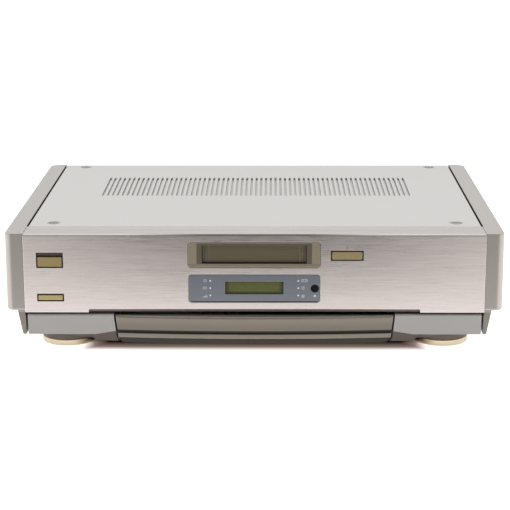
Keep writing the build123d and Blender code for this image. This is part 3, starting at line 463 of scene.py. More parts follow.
def shade_gaps(material):
    """Painted shade on the walls and rims round what sits in the front panel, and painted shadow lines
    under the slot and the window.
    """
    rim, side, corner = 0.45 * MM, 0.4 * MM, 2.4 * MM
    front, back = FACE - rim, FACE + 5 * MM
    for (x0, z0), (x1, z1) in (button_opening("power_button", 2.8 * MM),
                               button_opening("panel_button"), button_opening("eject_button")):
        repaint_box(material, (x0 - rim, front, z0 - rim), (x1 + rim, back, z1 + rim),
                    tint(62, 52, 38), metallic=0.0, rough=0.5)
    # painted shadow under the slot and the window, painted shade at their sides
    for node, depth in (("cassette_bezel", 0.7 * MM), ("display_window", 0.6 * MM)):
        low, high = corners(node)
        repaint_box(material, (low.x + corner, front, low.z - depth),
                    (high.x - corner, back, low.z + rim),
                    tint(74, 66, 62), metallic=0.0, rough=0.5)
        repaint_box(material, (low.x - side, front, low.z + corner),
                    (high.x + side, back, high.z - corner),
                    tint(128, 119, 114), metallic=0.2, rough=0.5)
    return material


def cover_paint(base):
    """Baked pale grey paint with a faint orange peel; its down-turned edges get painted shade."""
    material = finish("cover_paint", base, metallic=0.15, rough=0.42, swing=0.04,
                      grain=speckle(0.0009), contrast=0.025, relief=0.000012,
                      edge=0.5 * MM, edge_light=0.45, dust=0.05)
    low, high = corners("top_cover")
    edge = 0.3 * MM
    # painted shade on the down-turned edges, in the gap to the side panels
    for x0, x1 in ((low.x - MM, low.x + edge), (high.x - edge, high.x + MM)):
        repaint_box(material, (x0, low.y, low.z - MM), (x1, high.y, high.z + MM),
                    GAP_SHADE, metallic=0.0, rough=0.6)
    return material


def side_lacquer(base):
    """Metallic grey lacquer of the side panels; painted highlight on the round front edge, painted
    shade on the flat front and the skirt.

    The inner faces get painted shade.
    """
    material = finish("side_lacquer", base, metallic=0.62, rough=0.34, swing=0.05,
                      grain=speckle(0.0006), contrast=0.05, relief=0.00001, edge=1.1 * MM,
                      edge_light=0.6, dust=0.03, coat=0.15)
    tree = material.node_tree
    # painted shade on the flat front face, painted highlight on its rounded edge
    ahead = looking(tree, 1, -0.950, -0.998)
    fillet_highlight = times(tree, looking(tree, 1, -0.998, -0.950), looking(tree, 1, -0.05, -0.30))
    repaint(material, fillet_highlight, tint(208, 201, 193))
    repaint(material, ahead, tint(172, 167, 162), metallic=0.5)
    # painted shade: darker on the lower skirt
    skirt_top = 38.5 * MM
    repaint_box(material, (-1, -1, 0), (1, 1, skirt_top), tint(146, 141, 135), metallic=0.45,
                soft=0.0006)
    # painted shade on the inner faces, in the gap to the cover
    low, high = corners("top_cover")
    reach = corners("front_panel")[1].x + 0.45 * MM
    return repaint_box(material, (-reach, low.y, 0), (reach, high.y, 0.13), GAP_SHADE,
                       metallic=0.0, rough=0.6)


def wing_lacquer(base):
    """Metallic grey lacquer on the moulded wings, with painted shade on what looks down."""
    material = finish("wing_lacquer", base, metallic=0.45, rough=0.40, swing=0.05,
                      grain=speckle(0.0006), contrast=0.05, relief=0.00001,
                      edge=1.0 * MM, edge_light=0.7)
    # painted shade on faces that turn down
    down = looking(material.node_tree, 2, -0.13, -0.27)
    return repaint(material, down, tint(112, 103, 95), metallic=0.3, rough=0.5)


def tray_lacquer(base):
    """Metallic taupe lacquer of the tray front, with painted shade above its groove, in the groove and
    on its foot.
    """
    material = finish("tray_lacquer", base, metallic=0.55, rough=0.38, swing=0.06,
                      grain=brushed(0.0012, 0.12), contrast=0.04, relief=0.000008,
                      edge=0.9 * MM, edge_light=0.7)
    low, high = corners("tray_fascia")
    # painted shade: a darker band above the groove, and a dark groove and foot
    brow, groove, foot = (13 * MM, 17 * MM), (9.9 * MM, 12.9 * MM), (-MM, 5.4 * MM)
    dark = {"paint": tint(66, 58, 51), "metallic": 0.1, "rough": 0.5, "soft": 0.0004}
    for (bottom, top), looks in ((brow, {"paint": tint(134, 127, 118), "soft": 0.006}),
                                 (groove, dark), (foot, dark)):
        repaint_box(material, (low.x - MM, low.y - MM, low.z + bottom),
                    (high.x + MM, high.y + MM, low.z + top), **looks)
    return material


def bezel_plastic(base):
    """Olive metallic moulding around the slot, with painted shade inside the mouth."""
    material = finish("bezel_plastic", base, metallic=0.35, rough=0.36, swing=0.05,
                      grain=speckle(0.0005), contrast=0.04, relief=0.000008,
                      edge=0.6 * MM, edge_light=0.45)
    low, high = corners("cassette_bezel")
    cheek, lip, sill, lintel = 8 * MM, 1.1 * MM, 3 * MM, 2 * MM
    # painted shade on the walls inside the mouth
    return repaint_box(material, (low.x + cheek, low.y + lip, low.z + sill),
                       (high.x - cheek, high.y, high.z - lintel),
                       tint(46, 41, 31), metallic=0.0, rough=0.5, soft=0.0003)


def flap_plastic(base):
    """Smoked door with a satin face."""
    return finish("flap_plastic", base, metallic=0.2, rough=0.30, swing=0.05,
                  grain=brushed(0.0006, 0.05), contrast=0.06, relief=0.000006,
                  edge=0.25 * MM, edge_light=0.35, coat=0.3)


def gold_satin(base, name="gold_satin"):
    """Satin gold anodising of the buttons and keys."""
    return finish(name, base, metallic=0.85, rough=0.34, swing=0.06,
                  grain=brushed(0.0004, 0.02), contrast=0.07, relief=0.00001,
                  edge=0.5 * MM, edge_light=0.6)


def button_gold(base):
    """Gold cap of a front button, with painted shade on its sides behind the face; the power button's
    cap is deeper gold.
    """
    material = gold_satin(base, "button_gold")
    low, high = corners("power_button")
    repaint_box(material, (low.x, low.y - MM, low.z), high, tint(172, 155, 110))
    # painted shade on the button's sides in the gap behind its face
    return repaint_box(material, (-1, FACE + 0.35 * MM, 0), (1, high.y + MM, 1),
                       tint(44, 37, 27), metallic=0.0, rough=0.5)


def window_print(base):
    """Grey metallic print under a clear skin, with painted shade along its lower edge."""
    material = finish("window_print", base, metallic=0.6, rough=0.30, swing=0.04,
                      grain=speckle(0.0004), contrast=0.03, relief=0.000004,
                      edge=0.6 * MM, edge_light=0.30, coat=0.3)
    low, high = corners("display_window")
    corner, edge = 2 * MM, 0.6 * MM
    # painted shade along the lower edge
    return repaint_box(material, (low.x + corner, low.y - MM, low.z - MM),
                       (high.x - corner, high.y, low.z + edge),
                       tint(56, 54, 58), metallic=0.0, rough=0.4, soft=0.0003)


def lens_black(base):
    """Dark plastic that lets infrared through."""
    return finish("lens_black", base, rough=0.34, swing=0.03, contrast=0.05,
                  relief=0.000004, edge_light=0.1, specular=0.2)


def ring_gold(base):
    """Gold plated and turned rings of the feet."""
    return finish("ring_gold", base, metallic=1.0, rough=0.22, swing=0.05,
                  grain=speckle(0.0008), contrast=0.04, relief=0.00001, edge=0.4 * MM,
                  edge_light=0.7)


def moulded(name, base, size=0.0006, relief=0.00002, rough=0.5):
    """Plain moulded plastic with a spark-eroded grain."""
    return finish(name, base, rough=rough, swing=0.07, grain=speckle(size), contrast=0.08,
                  relief=relief, edge=0.3 * MM, edge_light=0.12)


def rubber(base):
    """Soft black rubber."""
    return finish("rubber", base, rough=0.78, swing=0.06, contrast=0.15, relief=0.00003,
                  edge_light=0.06, dust=0.12, specular=0.3)


def zinc(base):
    """Zinc plated sheet with its clouded spangle."""
    return finish("zinc", base, metallic=1.0, rough=0.36, swing=0.08, grain=speckle(0.0022),
                  contrast=0.10, relief=0.000008, edge=0.3 * MM, edge_light=0.5, dust=0.05)


def machined(name, base, node=None, spacing=0.0006, rough=0.24, metallic=1.0):
    """Turned finish with rings about the upright axis of a node, or of the frame."""
    axis = centre_of(node).xy if node else (0.0, 0.0)
    return finish(name, base, metallic=metallic, rough=rough, swing=0.06,
                  grain=("turned_rings", {"centre": (*axis, 0.0), "spacing": spacing}),
                  contrast=0.07, relief=0.000006, edge=0.3 * MM, edge_light=0.5)


def board_lacquer(name, base):
    """Green board: tracks under the lacquer and small bright solder joints."""
    material, tree, shader = blank(name)
    where = coordinates(tree)
    cells = add(tree, "ShaderNodeTexVoronoi",
                {"Scale": 160.0, "Randomness": 0.35, "Vector": where}, feature="DISTANCE_TO_EDGE")
    tracks = spread(tree, cells.outputs["Distance"], 0.10, 0.16)
    joints = add(tree, "ShaderNodeTexVoronoi",
                 {"Scale": 210.0, "Randomness": 0.55, "Vector": where})
    solder = spread(tree, joints.outputs["Distance"], 0.17, 0.12)
    shade = mix_colour(tree, tracks, scaled(base, 1.7), base)
    shade = mix_colour(tree, solder, shade, tint(196, 198, 200))
    bump = add(tree, "ShaderNodeBump", {"Strength": 0.6, "Distance": 0.0003, "Height": solder})
    fill(shader, {"Base Color": shade, "Metallic": solder, "Normal": bump.outputs[0],
                  "Roughness": spread(tree, solder, 0, 1, 0.42, 0.25), "Coat Weight": 0.25})
    return material


def board_finish(name, base, low, high, deck, metal=()):
    """Lacquered board in a box; its parts above the deck are black, or metal in their boxes."""
    material = board_lacquer(name, base)
    repaint_box(material, (low.x, low.y, deck), high, tint(34, 34, 36), metallic=0.0,
                rough=0.45)
    for start, end, paint in metal:
        repaint_box(material, start, end, paint, metallic=1.0, rough=0.32)
    return material


def display_cell(base):
    """Unlit display: a green field, lighter towards the bottom and darker towards the top, with painted
    shade towards its frame.
    """
    material, tree, shader = blank("display_cell")
    middle = centre_of("lcd_module")
    x, _, z = axes(tree)
    up = maths(tree, "SUBTRACT", z, middle.z)
    # painted shade towards both ends and the bottom
    rim = maths(tree, "MAXIMUM", spread(tree, away_from(tree, x, middle.x), 0.0225, 0.0272),
                spread(tree, up, -0.0035, -0.0064))
    # lighter towards the bottom, darker towards the top
    field = mix_colour(tree, spread(tree, up, -0.0060, 0.0062), scaled(base, 1.10),
                       scaled(base, 0.92))
    dots = add(tree, "ShaderNodeTexChecker",
               {"Scale": 1400.0, "Vector": coordinates(tree)}).outputs["Fac"]
    field = mix_colour(tree, times(tree, dots, 0.10), field, tint(60, 66, 40))
    shade = mix_colour(tree, times(tree, rim, 0.65), field, tint(34, 37, 24))
    cloud = noise(tree, coordinates(tree), 90.0)
    fill(shader, {"Base Color": shade, "Roughness": spread(tree, cloud, 0, 1, 0.22, 0.34),
                  "Specular IOR Level": 0.3})
    return material


def clear_rod():
    """Milky clear plastic of the lamps, with a faint painted glow though they are not lit."""
    material = finish("clear_rod", tint(246, 247, 248), rough=0.35, swing=0.05, contrast=0.03,
                      relief=0.000004, edge_light=0.2)
    # painted glow: emission makes the unlit lamps look lit
    fill(shader_of(material), {"Emission Color": (1.0, 1.0, 1.0, 1.0),
                               "Emission Strength": 0.35})
    return material


def print_ink(name, base):
    """Screen printed ink, slightly uneven."""
    return finish(name, base, rough=0.5, swing=0.05, grain=speckle(0.0003), contrast=0.06,
                  relief=0.000004, edge=0.05 * MM, edge_light=0.0)


def nickel_ends(name, black, node, depth):
    """Black sockets whose outer ends are nickel shells."""
    low, high = corners(node)
    material = moulded(name, black, relief=0.00001, rough=0.42)
    return repaint_box(material, (low.x, high.y - depth, low.z),
                       (high.x, high.y + MM, high.z),
                       tint(205, 203, 198), metallic=1.0, rough=0.25)


def phono_finish(black):
    """Phono sockets: nickel shells around yellow, white and red inserts."""
    depth, half, margin = 13.5 * MM, 3.0 * MM, 6.4 * MM
    material = nickel_ends("phono_sockets", black, "av_jacks", depth)
    low, high = corners("av_jacks")
    middle = (low.z + high.z) / 2
    first, last = low.x + margin, high.x - margin
    steps = (0, 14, 28, 56, 70, 84)       # places of the sockets along their row
    paints = (tint(205, 170, 40), tint(215, 212, 205), tint(165, 40, 36)) * 2
    for step, paint in zip(steps, paints):
        x = first + (last - first) * step / steps[-1]
        repaint_box(material, (x - half, high.y - depth, middle - half),
                    (x + half, high.y, middle + half), paint, metallic=0.0, rough=0.4)
    return material


def transformer_finish(base):
    """Varnished laminations with taped windings at both ends."""
    material = finish("transformer", base, metallic=0.6, rough=0.5, swing=0.08,
                      grain=brushed(0.0006, 0.2), contrast=0.25, relief=0.00006,
                      edge_light=0.1)
    low, high = corners("transformer")
    wound, foot = 9.2 * MM, 3 * MM
    for start, end in ((low.y, low.y + wound), (high.y - wound, high.y)):
        repaint_box(material, (low.x, start, low.z + foot), (high.x, end, high.z),
                    tint(196, 160, 62), metallic=0.0, rough=0.4)
    return material


# ---- meshes and printed marks
def new_object(name, bm, material):
    """Turn a bmesh into an object of the scene."""
    mesh = bpy.data.meshes.new(name)
    bm.to_mesh(mesh)
    bm.free()
    mesh.materials.append(material)
    piece = bpy.data.objects.new(name, mesh)
    bpy.context.scene.collection.objects.link(piece)
    return piece


LAID_ON = {"front": Matrix.Rotation(math.radians(90), 4, "X"), "top": Matrix.Identity(4)}


def stamp(name, outlines, face, place, material, body):
    """A printed mark that rides on a body: flat outlines, raised a little, laid on a face."""
    bm = bmesh.new()
    for outline in outlines:
        bm.faces.new([bm.verts.new((u, v, 0)) for u, v in outline])
    raised = bmesh.ops.extrude_face_region(bm, geom=bm.faces[:])["geom"]
    lift = bpy.context.scene.recorder_sizes.print_lift
    bmesh.ops.translate(bm, vec=(0, 0, lift),
                        verts=[item for item in raised if isinstance(item, bmesh.types.BMVert)])
    bmesh.ops.transform(bm, matrix=Matrix.Translation(place) @ LAID_ON[face], verts=bm.verts)
    bmesh.ops.remove_doubles(bm, verts=bm.verts, dist=1e-7)
    bmesh.ops.recalc_face_normals(bm, faces=bm.faces)
    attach(new_object(name, bm, material), body)


def arrow(size, centre=(0.0, 0.0), heading=0.0):
    """Triangle that points along +u, turned by heading in degrees."""
    turn = Matrix.Rotation(math.radians(heading), 2)
    return [turn @ Vector((u * size, v * size)) + Vector(centre)
            for u, v in ((-0.45, -0.5), (0.45, 0.0), (-0.45, 0.5))]


def bar(wide, tall, centre=(0.0, 0.0)):
    """Rectangle about a centre."""
    (u, v), w, h = centre, wide / 2, tall / 2
    return [(u - w, v - h), (u + w, v - h), (u + w, v + h), (u - w, v + h)]


def dot(radius, centre=(0.0, 0.0), count=28, start=0.0, sweep=360.0):
    """Disc, or a slice of one, about a centre."""
    points = []
    for index in range(count):
        angle = math.radians(start + sweep * index / (count if sweep == 360 else count - 1))
        points.append((centre[0] + radius * math.cos(angle),
                       centre[1] + radius * math.sin(angle)))
    return points


def arc_band(radius, width, start=0.0, sweep=360.0, centre=(0.0, 0.0), count=20):
    """Outline of a curved band."""
    outer = dot(radius + width / 2, centre, count, start, sweep)
    inner = dot(radius - width / 2, centre, count, start, sweep)
    return outer + inner[::-1]


def frame_bars(wide, tall, line):
    """The four sides of a rectangle, as bars."""
    across, up = (wide - line) / 2, (tall - line) / 2
    return [bar(wide, line, (0, -up)), bar(wide, line, (0, up)),
            bar(line, tall - 2 * line, (-across, 0)), bar(line, tall - 2 * line, (across, 0))]


# ---- operators
class RECORDER_OT_case(Operator):
    """Finish the cover, the front plate, the side panels, the pan and the rear panel"""

    bl_idname = "recorder.case"
    bl_label = "Case"

    def execute(self, context):
        colours = context.scene.recorder_colours
        dress(cover_paint(colours.cover), "top_cover")
        dress(shade_gaps(metal_front(colours.front)), "front_panel")
        dress(side_lacquer(colours.side), "side_panel_left", "side_panel_right")
        dress(wing_lacquer(colours.wing), "wing_left", "wing_right")
        dress(moulded("subframe_plastic", colours.subframe, relief=0.00001), "front_subframe")
        dress(zinc(colours.steel), "base_pan")
        dress(moulded("rear_black", colours.dark, size=0.0009, relief=0.00003), "rear_panel")
        screws = machined("screw_steel", tint(208, 203, 194))
        # painted shade on the sides of the screw heads, all but what faces up
        rims = looking(screws.node_tree, 2, 0.985, 0.90)
        dress(repaint(screws, rims, tint(104, 96, 88)), "cover_screws", "case_screws")
        return {"FINISHED"}


class RECORDER_OT_feet(Operator):
    """Finish the cups, the gold rings and the soft pads of the feet"""

    bl_idname = "recorder.feet"
    bl_label = "Feet"

    def execute(self, context):
        colours = context.scene.recorder_colours
        dress(moulded("cup_plastic", colours.cup, rough=0.42), "foot_cups")
        dress(ring_gold(colours.ring), "foot_rings")
        dress(rubber(tint(38, 36, 34)), "foot_pads")
        return {"FINISHED"}


class RECORDER_OT_front_fittings(Operator):
    """Finish the cassette slot, its door, the display window and what shows in it"""

    bl_idname = "recorder.front_fittings"
    bl_label = "Front Fittings"

    def execute(self, context):
        colours = context.scene.recorder_colours
        dress(bezel_plastic(colours.bezel), "cassette_bezel")
        dress(flap_plastic(colours.flap), "cassette_flap")
        dress(machined("pin_steel", tint(190, 188, 184)), "flap_pin")
        dress(window_print(colours.window), "display_window")
        dress(display_cell(colours.crystal), "lcd_module")
        dress(clear_rod(), "light_pipes")
        dress(lens_black(tint(14, 14, 18)), "ir_receiver")
        return {"FINISHED"}


class RECORDER_OT_front_buttons(Operator):
    """Finish the three buttons of the front plate"""

    bl_idname = "recorder.front_buttons"
    bl_label = "Front Buttons"

    def execute(self, context):
        colours = context.scene.recorder_colours
        dress(button_gold(colours.gold), "power_button", "panel_button", "eject_button")
        dress(moulded("ledge_plastic", tint(86, 77, 62), rough=0.4), "power_ledge")
        return {"FINISHED"}


class RECORDER_OT_front_marks(Operator):
    """Print plain symbols beside the lamps and the eject button"""

    bl_idname = "recorder.front_marks"
    bl_label = "Front Marks"

    def execute(self, context):
        mark = context.scene.recorder_sizes.mark
        ink = print_ink("pale_ink", tint(226, 228, 232))
        self.lamp_marks(mark, ink)
        self.remote_mark(mark, ink)
        self.eject_marks(mark)
        return {"FINISHED"}

    def lamp_marks(self, mark, ink):
        """A symbol beside each lamp: tape, timer and record, then power, stereo and level."""
        line = mark * 0.16
        front = corners("display_window")[0].y
        lamps = NODES["light_pipes"]
        rows = sorted({round((lamps.matrix_world @ vertex.co).z, 3)
                       for vertex in lamps.data.vertices})
        low, middle, high = rows[0], rows[len(rows) // 2], rows[-1]
        reach = corners("light_pipes")[1].x
        left, right, wide_right = -reach - 4.2 * MM, reach + 3.8 * MM, reach + 5.0 * MM
        ring = arc_band(mark / 2, line)
        drawings = {
            "tape_mark": (wide_right, high, frame_bars(2.1 * mark, mark, line)
                          + [dot(mark * 0.17, (u * mark, 0)) for u in (-0.5, 0.5)]),
            "timer_mark": (right, middle, [ring, bar(line, mark * 0.4, (0, 0.1 * mark)),
                                           bar(mark * 0.3, line, (0.12 * mark, 0))]),
            "record_mark": (right, low, [ring, dot(mark * 0.25)]),
            "power_mark": (left, high, [arc_band(mark / 2, line, 120, 300),
                                        bar(line, mark * 0.5, (0, mark * 0.3))]),
            "stereo_mark": (left, middle, [arc_band(mark * 0.4, line, centre=(u * mark, 0))
                                           for u in (-0.3, 0.3)]),
            "level_mark": (left, low, [bar(line * 1.6, mark * (0.3 + 0.2 * step),
                                           ((step - 1.5) * mark * 0.42,
                                            mark * (0.1 * step - 0.35)))
                                       for step in range(4)]),
        }
        for name, (x, z, outlines) in drawings.items():
            stamp(name, outlines, "front", (x, front, z), ink, "case")

    def remote_mark(self, mark, ink):
        """A small field under the remote receiver."""
        low, _ = corners("ir_receiver")
        place = (low.x + 4.4 * MM, corners("display_window")[0].y,
                 centre_of("ir_receiver").z - 7.2 * MM)
        stamp("remote_mark", [bar(mark * 0.9, mark * 0.75)], "front", place, ink, "case")

    def eject_marks(self, mark):
        """A triangle over a bar above the button, and a small green field on it."""
        low, high = corners("eject_button")
        middle = centre_of("eject_button")
        symbol = [arrow(mark, (0, mark * 0.3), 90), bar(mark, mark * 0.22, (0, -mark * 0.42))]
        stamp("eject_mark", symbol, "front", (middle.x, FACE, high.z + 2 * MM),
              print_ink("amber_ink", tint(196, 150, 112)), "case")
        stamp("eject_lamp", [bar(mark * 1.2, mark * 0.6)], "front",
              (middle.x, low.y, middle.z), print_ink("lamp_green", tint(150, 172, 146)),
              "eject_button")


class RECORDER_OT_tray(Operator):
    """Finish the tray, its keys and its dial, and print their symbols"""

    bl_idname = "recorder.tray"
    bl_label = "Tray"

    def execute(self, context):
        colours = context.scene.recorder_colours
        dress(tray_lacquer(colours.tray), "tray_fascia")
        dress(moulded("tray_black", colours.dark, relief=0.00001), "tray_body")
        dress(moulded("deck_black", tint(52, 50, 47), size=0.0005, rough=0.42), "tray_deck")
        dress(gold_satin(colours.gold), "rewind_key", "play_key", "forward_key", "stop_key",
              "pause_key", "record_key")
        dress(machined("ring_turned", tint(120, 113, 104), "jog_dial", 0.0011, 0.34),
              "shuttle_ring")
        dress(machined("jog_turned", colours.gold, "jog_dial", 0.0007, 0.26), "jog_dial")
        low, high = corners("tray_board")
        dress(board_finish("tray_board", colours.lacquer, low, high, low.z + 10.7 * MM),
              "tray_board")
        dress(moulded("acetal", tint(226, 222, 208), rough=0.4), "tray_gear", "motor_pulley",
              "tray_guides")
        dress(machined("motor_can", tint(190, 189, 186), spacing=0.002, rough=0.3),
              "tray_motor")
        dress(rubber(tint(22, 22, 23)), "tray_belt")
        self.key_marks(context.scene.recorder_sizes.mark * 1.1)
        self.dial_marks()
        return {"FINISHED"}

    def key_marks(self, size):
        """Running symbols on the keys."""
        aside, apart = size * 0.45, size * 0.3
        symbols = {
            "rewind_key": [arrow(size, (u, 0), 180) for u in (-aside, aside)],
            "play_key": [arrow(size * 1.2)],
            "forward_key": [arrow(size, (u, 0)) for u in (-aside, aside)],
            "stop_key": [bar(size, size)],
            "pause_key": [bar(size * 0.3, size, (u, 0)) for u in (-apart, apart)],
            "record_key": [dot(size * 0.5)],
        }
        black = print_ink("key_ink", tint(34, 32, 30))
        red = print_ink("record_ink", tint(172, 44, 38))
        for name, outlines in symbols.items():
            place = centre_of(name)
            place.z = corners(name)[1].z
            ink = red if name == "record_key" else black
            stamp(name + "_mark", outlines, "top", place, ink, name)

    def dial_marks(self):
        """Ticks on the deck around the dial, longer towards both ends."""
        inner, outer, longer, half = 31.2 * MM, 33.0 * MM, 0.4 * MM, 0.35 * MM
        ticks = []
        for step in range(-5, 6):
            angle = math.radians(90 + 15 * step)
            out = Vector((math.cos(angle), math.sin(angle)))
            side = Vector((-out.y, out.x)) * half
            near, far = out * inner, out * (outer + longer * abs(step))
            ticks.append([near - side, far - side, far + side, near + side])
        place = centre_of("jog_dial")
        place.z = corners("tray_deck")[1].z
        stamp("dial_ticks", ticks, "top", place, print_ink("tick_ink", tint(206, 200, 186)),
              "tray")


class RECORDER_OT_mechanism(Operator):
    """Finish the cassette holder, its carriage, the reels, the drum and the tape guides"""

    bl_idname = "recorder.mechanism"
    bl_label = "Mechanism"

    def execute(self, context):
        colours = context.scene.recorder_colours
        dress(zinc(colours.steel), "mecha_base", "carriage", "pinch_arm")
        dress(finish("holder_black", tint(58, 57, 56), metallic=0.7, rough=0.38,
                     relief=0.000008, edge_light=0.3), "cassette_holder")
        dress(machined("drum_polished", tint(206, 206, 208), "head_drum", 0.0004, 0.16),
              "head_drum", "head_drum_lower")
        for name in ("supply_reel", "takeup_reel"):
            dress(machined(name + "_acetal", tint(60, 60, 62), name, 0.0009, 0.4, metallic=0.0),
                  name)
        dress(machined("capstan_ground", tint(196, 195, 192), "capstan", 0.0005, 0.2),
              "capstan")
        dress(rubber(tint(30, 30, 31)), "pinch_roller")
        dress(machined("loading_can", tint(186, 185, 182), spacing=0.002, rough=0.3),
              "loading_motor")
        return {"FINISHED"}


class RECORDER_OT_electronics(Operator):
    """Finish the boards, the transformer and the sockets at the back"""

    bl_idname = "recorder.electronics"
    bl_label = "Electronics"

    def execute(self, context):
        colours = context.scene.recorder_colours
        dress(self.main_boards(colours.lacquer), "main_boards")
        dress(self.power_board(colours.lacquer), "power_board")
        dress(board_lacquer("front_boards", colours.lacquer), "front_boards")
        dress(transformer_finish(tint(70, 62, 52)), "transformer")
        dress(phono_finish(colours.dark), "av_jacks")
        dress(nickel_ends("round_sockets", colours.dark, "round_sockets", 4 * MM),
              "round_sockets")
        dress(moulded("inlet_black", colours.dark, relief=0.00001), "ac_inlet")
        return {"FINISHED"}

    def main_boards(self, base):
        """Main board with two tin cans; the jack board stands behind it."""
        low, high = corners("main_boards")
        deck = low.z + 18.5 * MM
        jack_board = corners("av_jacks")[0].y - 1.6 * MM
        spans = ((-1 * MM, 45 * MM), (129 * MM, 187 * MM))
        cans = [((x0, low.y, deck), (x1, jack_board, high.z), tint(190, 190, 188))
                for x0, x1 in spans]
        back = Vector((high.x, jack_board - 2 * MM, high.z))
        return board_finish("main_boards", base, low, back, deck, cans)

    def power_board(self, base):
        """Power board with its alloy heat sink."""
        low, high = corners("power_board")
        sink = ((-166.3 * MM, low.y, low.z + 10 * MM),
                (-158.5 * MM, low.y + 58.5 * MM, high.z), tint(178, 178, 176))
        return board_finish("power_board", base, low, high, low.z + 10.4 * MM, [sink])


class RECORDER_OT_stage(Operator):
    """Set the floor, the even light around, three lamps and the camera"""

    bl_idname = "recorder.stage"
    bl_label = "Stage"

    def execute(self, context):
        scene = context.scene
        studio = scene.recorder_studio
        scene.view_settings.view_transform = "Standard"
        self.floor()
        self.sky(scene, studio)
        self.lamp("key_lamp", studio.key_power, 1.1, (0.0, -0.1, 1.7))
        self.lamp("left_lamp", studio.side_power, 0.7, (-1.5, -0.2, 0.7))
        self.lamp("right_lamp", studio.side_power, 0.7, (1.5, -0.2, 0.7))
        self.camera(scene, studio)
        return {"FINISHED"}

    def floor(self):
        """White paper under the recorder; it keeps the shadow."""
        bm = bmesh.new()
        bmesh.ops.create_grid(bm, x_segments=1, y_segments=1, size=6.0)
        new_object("floor", bm, self.paper())

    def paper(self):
        """White paper: its shadow close under the recorder, deepened by a painted brown shadow, plain
        white away from it.
        """
        material, tree, shader = blank("paper")
        edge = self.outside(tree)
        grain = noise(tree, coordinates(tree), 300.0)
        pale = mix_colour(tree, grain, tint(226, 222, 219), tint(232, 228, 225))
        # painted shadow: the paper turns dark brown under the recorder
        under = spread(tree, edge, -0.040, -0.012, 0.85, 0.0)
        pale = mix_colour(tree, under, pale, tint(60, 46, 36))
        ray = add(tree, "ShaderNodeLightPath").outputs
        glossy = maths(tree, "MAXIMUM", ray["Is Glossy Ray"], ray["Is Transmission Ray"])
        # painted reflection: the floor is dark in gloss ahead of the middle
        dim = self.reflection_shade_patch(tree)
        pale = mix_colour(tree, times(tree, glossy, dim), pale, tint(52, 50, 49))
        # what the camera sees added: deep under the case, near its edge and far out
        deep = spread(tree, edge, -0.040, -0.024, 0.0, 0.20)
        rim = spread(tree, edge, -0.024, -0.014, 0.0, 0.72)
        beyond = spread(tree, edge, 0.02, 0.40, 0.0, 0.08)
        seen = times(tree, ray["Is Camera Ray"], plus(tree, plus(tree, deep, rim), beyond))
        # what gloss mirrors: a lit floor, with a painted reflection dim ahead and dark under the case
        lit = times(tree, spread(tree, dim, 0.0, 1.0, 0.49, 0.0),
                    spread(tree, edge, -0.034, -0.012))
        glow = plus(tree, seen, times(tree, glossy, lit))
        # painted shadow: the added light turns warm brown near the recorder
        shadow_tint = spread(tree, edge, -0.040, -0.010)
        glow_colour = mix_colour(tree, shadow_tint, (1.0, 0.55, 0.36), (1.0, 1.0, 1.0))
        fill(shader, {"Base Color": pale, "Roughness": 0.9, "Specular IOR Level": 0.1,
                      "Emission Strength": glow, "Emission Color": glow_colour})
        return material

    def reflection_shade_patch(self, tree):
        """Where the floor in front of the middle is painted dim in gloss, a painted reflection: 1
        there, 0 elsewhere.
        """
        x, y, _ = axes(tree)
        ahead = maths(tree, "SUBTRACT", cad_box[0][1], y)
        aside = away_from(tree, x, 0.0)
        return times(tree, spread(tree, ahead, 0.11, 0.43),
                     spread(tree, aside, 0.09, 0.31, 1.0, 0.42))

    def outside(self, tree):
        """How far a point of the floor lies outside the recorder's plan, less than 0 within.

        Round the front feet the plan is taken narrower, so that the painted shadow stops short there.
        """
        x, y, _ = axes(tree)
        past = []
        for value, low, high in zip((x, y), *cad_box):
            away = away_from(tree, value, (low + high) / 2)
            past.append(maths(tree, "SUBTRACT", away, (high - low) / 2))
        narrower = spread(tree, y, FACE + 0.03, FACE + 0.12, 0.055, 0.0)
        return maths(tree, "MAXIMUM", plus(tree, past[0], narrower), past[1])

    def sky(self, scene, studio):
        """Even light; in gloss it is pale behind the recorder and dim in front of it."""
        world = bpy.data.worlds.new("studio")
        world.use_nodes = True
        tree = world.node_tree
        ray = add(tree, "ShaderNodeLightPath").outputs
        across, ahead, _ = axes(tree, coordinates(tree, "Generated"))
        aside = spread(tree, away_from(tree, across, 0.0), 0.6, 0.95, 1.0, 0.6)
        mirrored = times(tree, aside,
                         spread(tree, ahead, -0.92, -0.45, studio.room, studio.mirror))
        glossy = maths(tree, "MAXIMUM", ray["Is Glossy Ray"], ray["Is Transmission Ray"])
        plain = times(tree, maths(tree, "SUBTRACT", 1.0, glossy), studio.sky)
        power = plus(tree, plain, times(tree, glossy, mirrored))
        seen = ray["Is Camera Ray"]
        fill(tree.nodes["Background"],
             {"Color": mix_colour(tree, seen, (1.0, 0.99, 0.98), (1.0, 1.0, 1.0)),
              "Strength": maths(tree, "MAXIMUM", seen, power)})
        scene.world = world

    def lamp(self, name, power, size, place):
        """A square soft lamp aimed at the recorder, left out of mirror images."""
        light = bpy.data.lights.new(name, "AREA")
        light.energy = power
        light.size = size
        lamp = bpy.data.objects.new(name, light)
        lamp.location = place
        heading = Vector((0.0, 0.0, 0.05)) - Vector(place)
        lamp.rotation_euler = heading.to_track_quat("-Z", "Y").to_euler()
        lamp.visible_glossy = False
        bpy.context.scene.collection.objects.link(lamp)

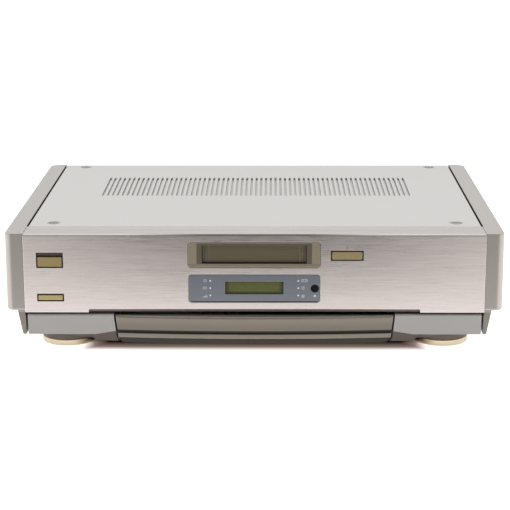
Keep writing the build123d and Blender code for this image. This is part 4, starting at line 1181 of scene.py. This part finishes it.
    def camera(self, scene, studio):
        """Camera in front, a little above, with a long lens."""
        lens = bpy.data.cameras.new("camera")
        lens.lens = studio.lens
        lens.sensor_width = 36.0
        lens.clip_start = 0.05
        camera = bpy.data.objects.new("camera", lens)
        look = Vector((-math.sin(studio.yaw) * math.cos(studio.pitch),
                       math.cos(studio.yaw) * math.cos(studio.pitch), -math.sin(studio.pitch)))
        level = Vector((math.cos(studio.yaw), math.sin(studio.yaw), 0.0))
        upright = level.cross(look)
        right = math.cos(studio.roll) * level + math.sin(studio.roll) * upright
        up = math.cos(studio.roll) * upright - math.sin(studio.roll) * level
        turn = Matrix((right, up, -look)).transposed().to_4x4()
        camera.matrix_world = Matrix.Translation(studio.place) @ turn
        bpy.context.scene.collection.objects.link(camera)
        scene.camera = camera


# ---- panel and registration
OPERATORS = (RECORDER_OT_stage, RECORDER_OT_case, RECORDER_OT_feet, RECORDER_OT_front_fittings,
             RECORDER_OT_front_buttons, RECORDER_OT_front_marks, RECORDER_OT_tray,
             RECORDER_OT_mechanism, RECORDER_OT_electronics)


class RECORDER_PT_looks(Panel):
    """Lists the recorder's pieces and their settings"""

    bl_label = "Recorder"
    bl_space_type = "VIEW_3D"
    bl_region_type = "UI"
    bl_category = "Recorder"

    def draw(self, context):
        column = self.layout.column(align=True)
        for kind in OPERATORS:
            column.operator(kind.bl_idname)
        for settings in (context.scene.recorder_colours, context.scene.recorder_sizes,
                         context.scene.recorder_studio):
            block = self.layout.column()
            for label in settings.bl_rna.properties.keys():
                if label not in ("rna_type", "name"):
                    block.prop(settings, label)


SETTINGS = {"recorder_colours": RecorderColours, "recorder_sizes": RecorderSizes,
            "recorder_studio": StudioSettings}
CLASSES = (*SETTINGS.values(), *OPERATORS, RECORDER_PT_looks)


def register():
    """Register the classes and hang the settings on the scene."""
    for kind in CLASSES:
        bpy.utils.register_class(kind)
    for label, kind in SETTINGS.items():
        setattr(bpy.types.Scene, label, PointerProperty(type=kind))


def unregister():
    """Take the settings and the classes away again."""
    for label in SETTINGS:
        delattr(bpy.types.Scene, label)
    for kind in reversed(CLASSES):
        bpy.utils.unregister_class(kind)


def main():
    """Dress the whole recorder."""
    register()
    shared_effects()
    for kind in OPERATORS:
        family, step = kind.bl_idname.split(".")
        getattr(getattr(bpy.ops, family), step)()


if __name__ == "__main__":
    main()
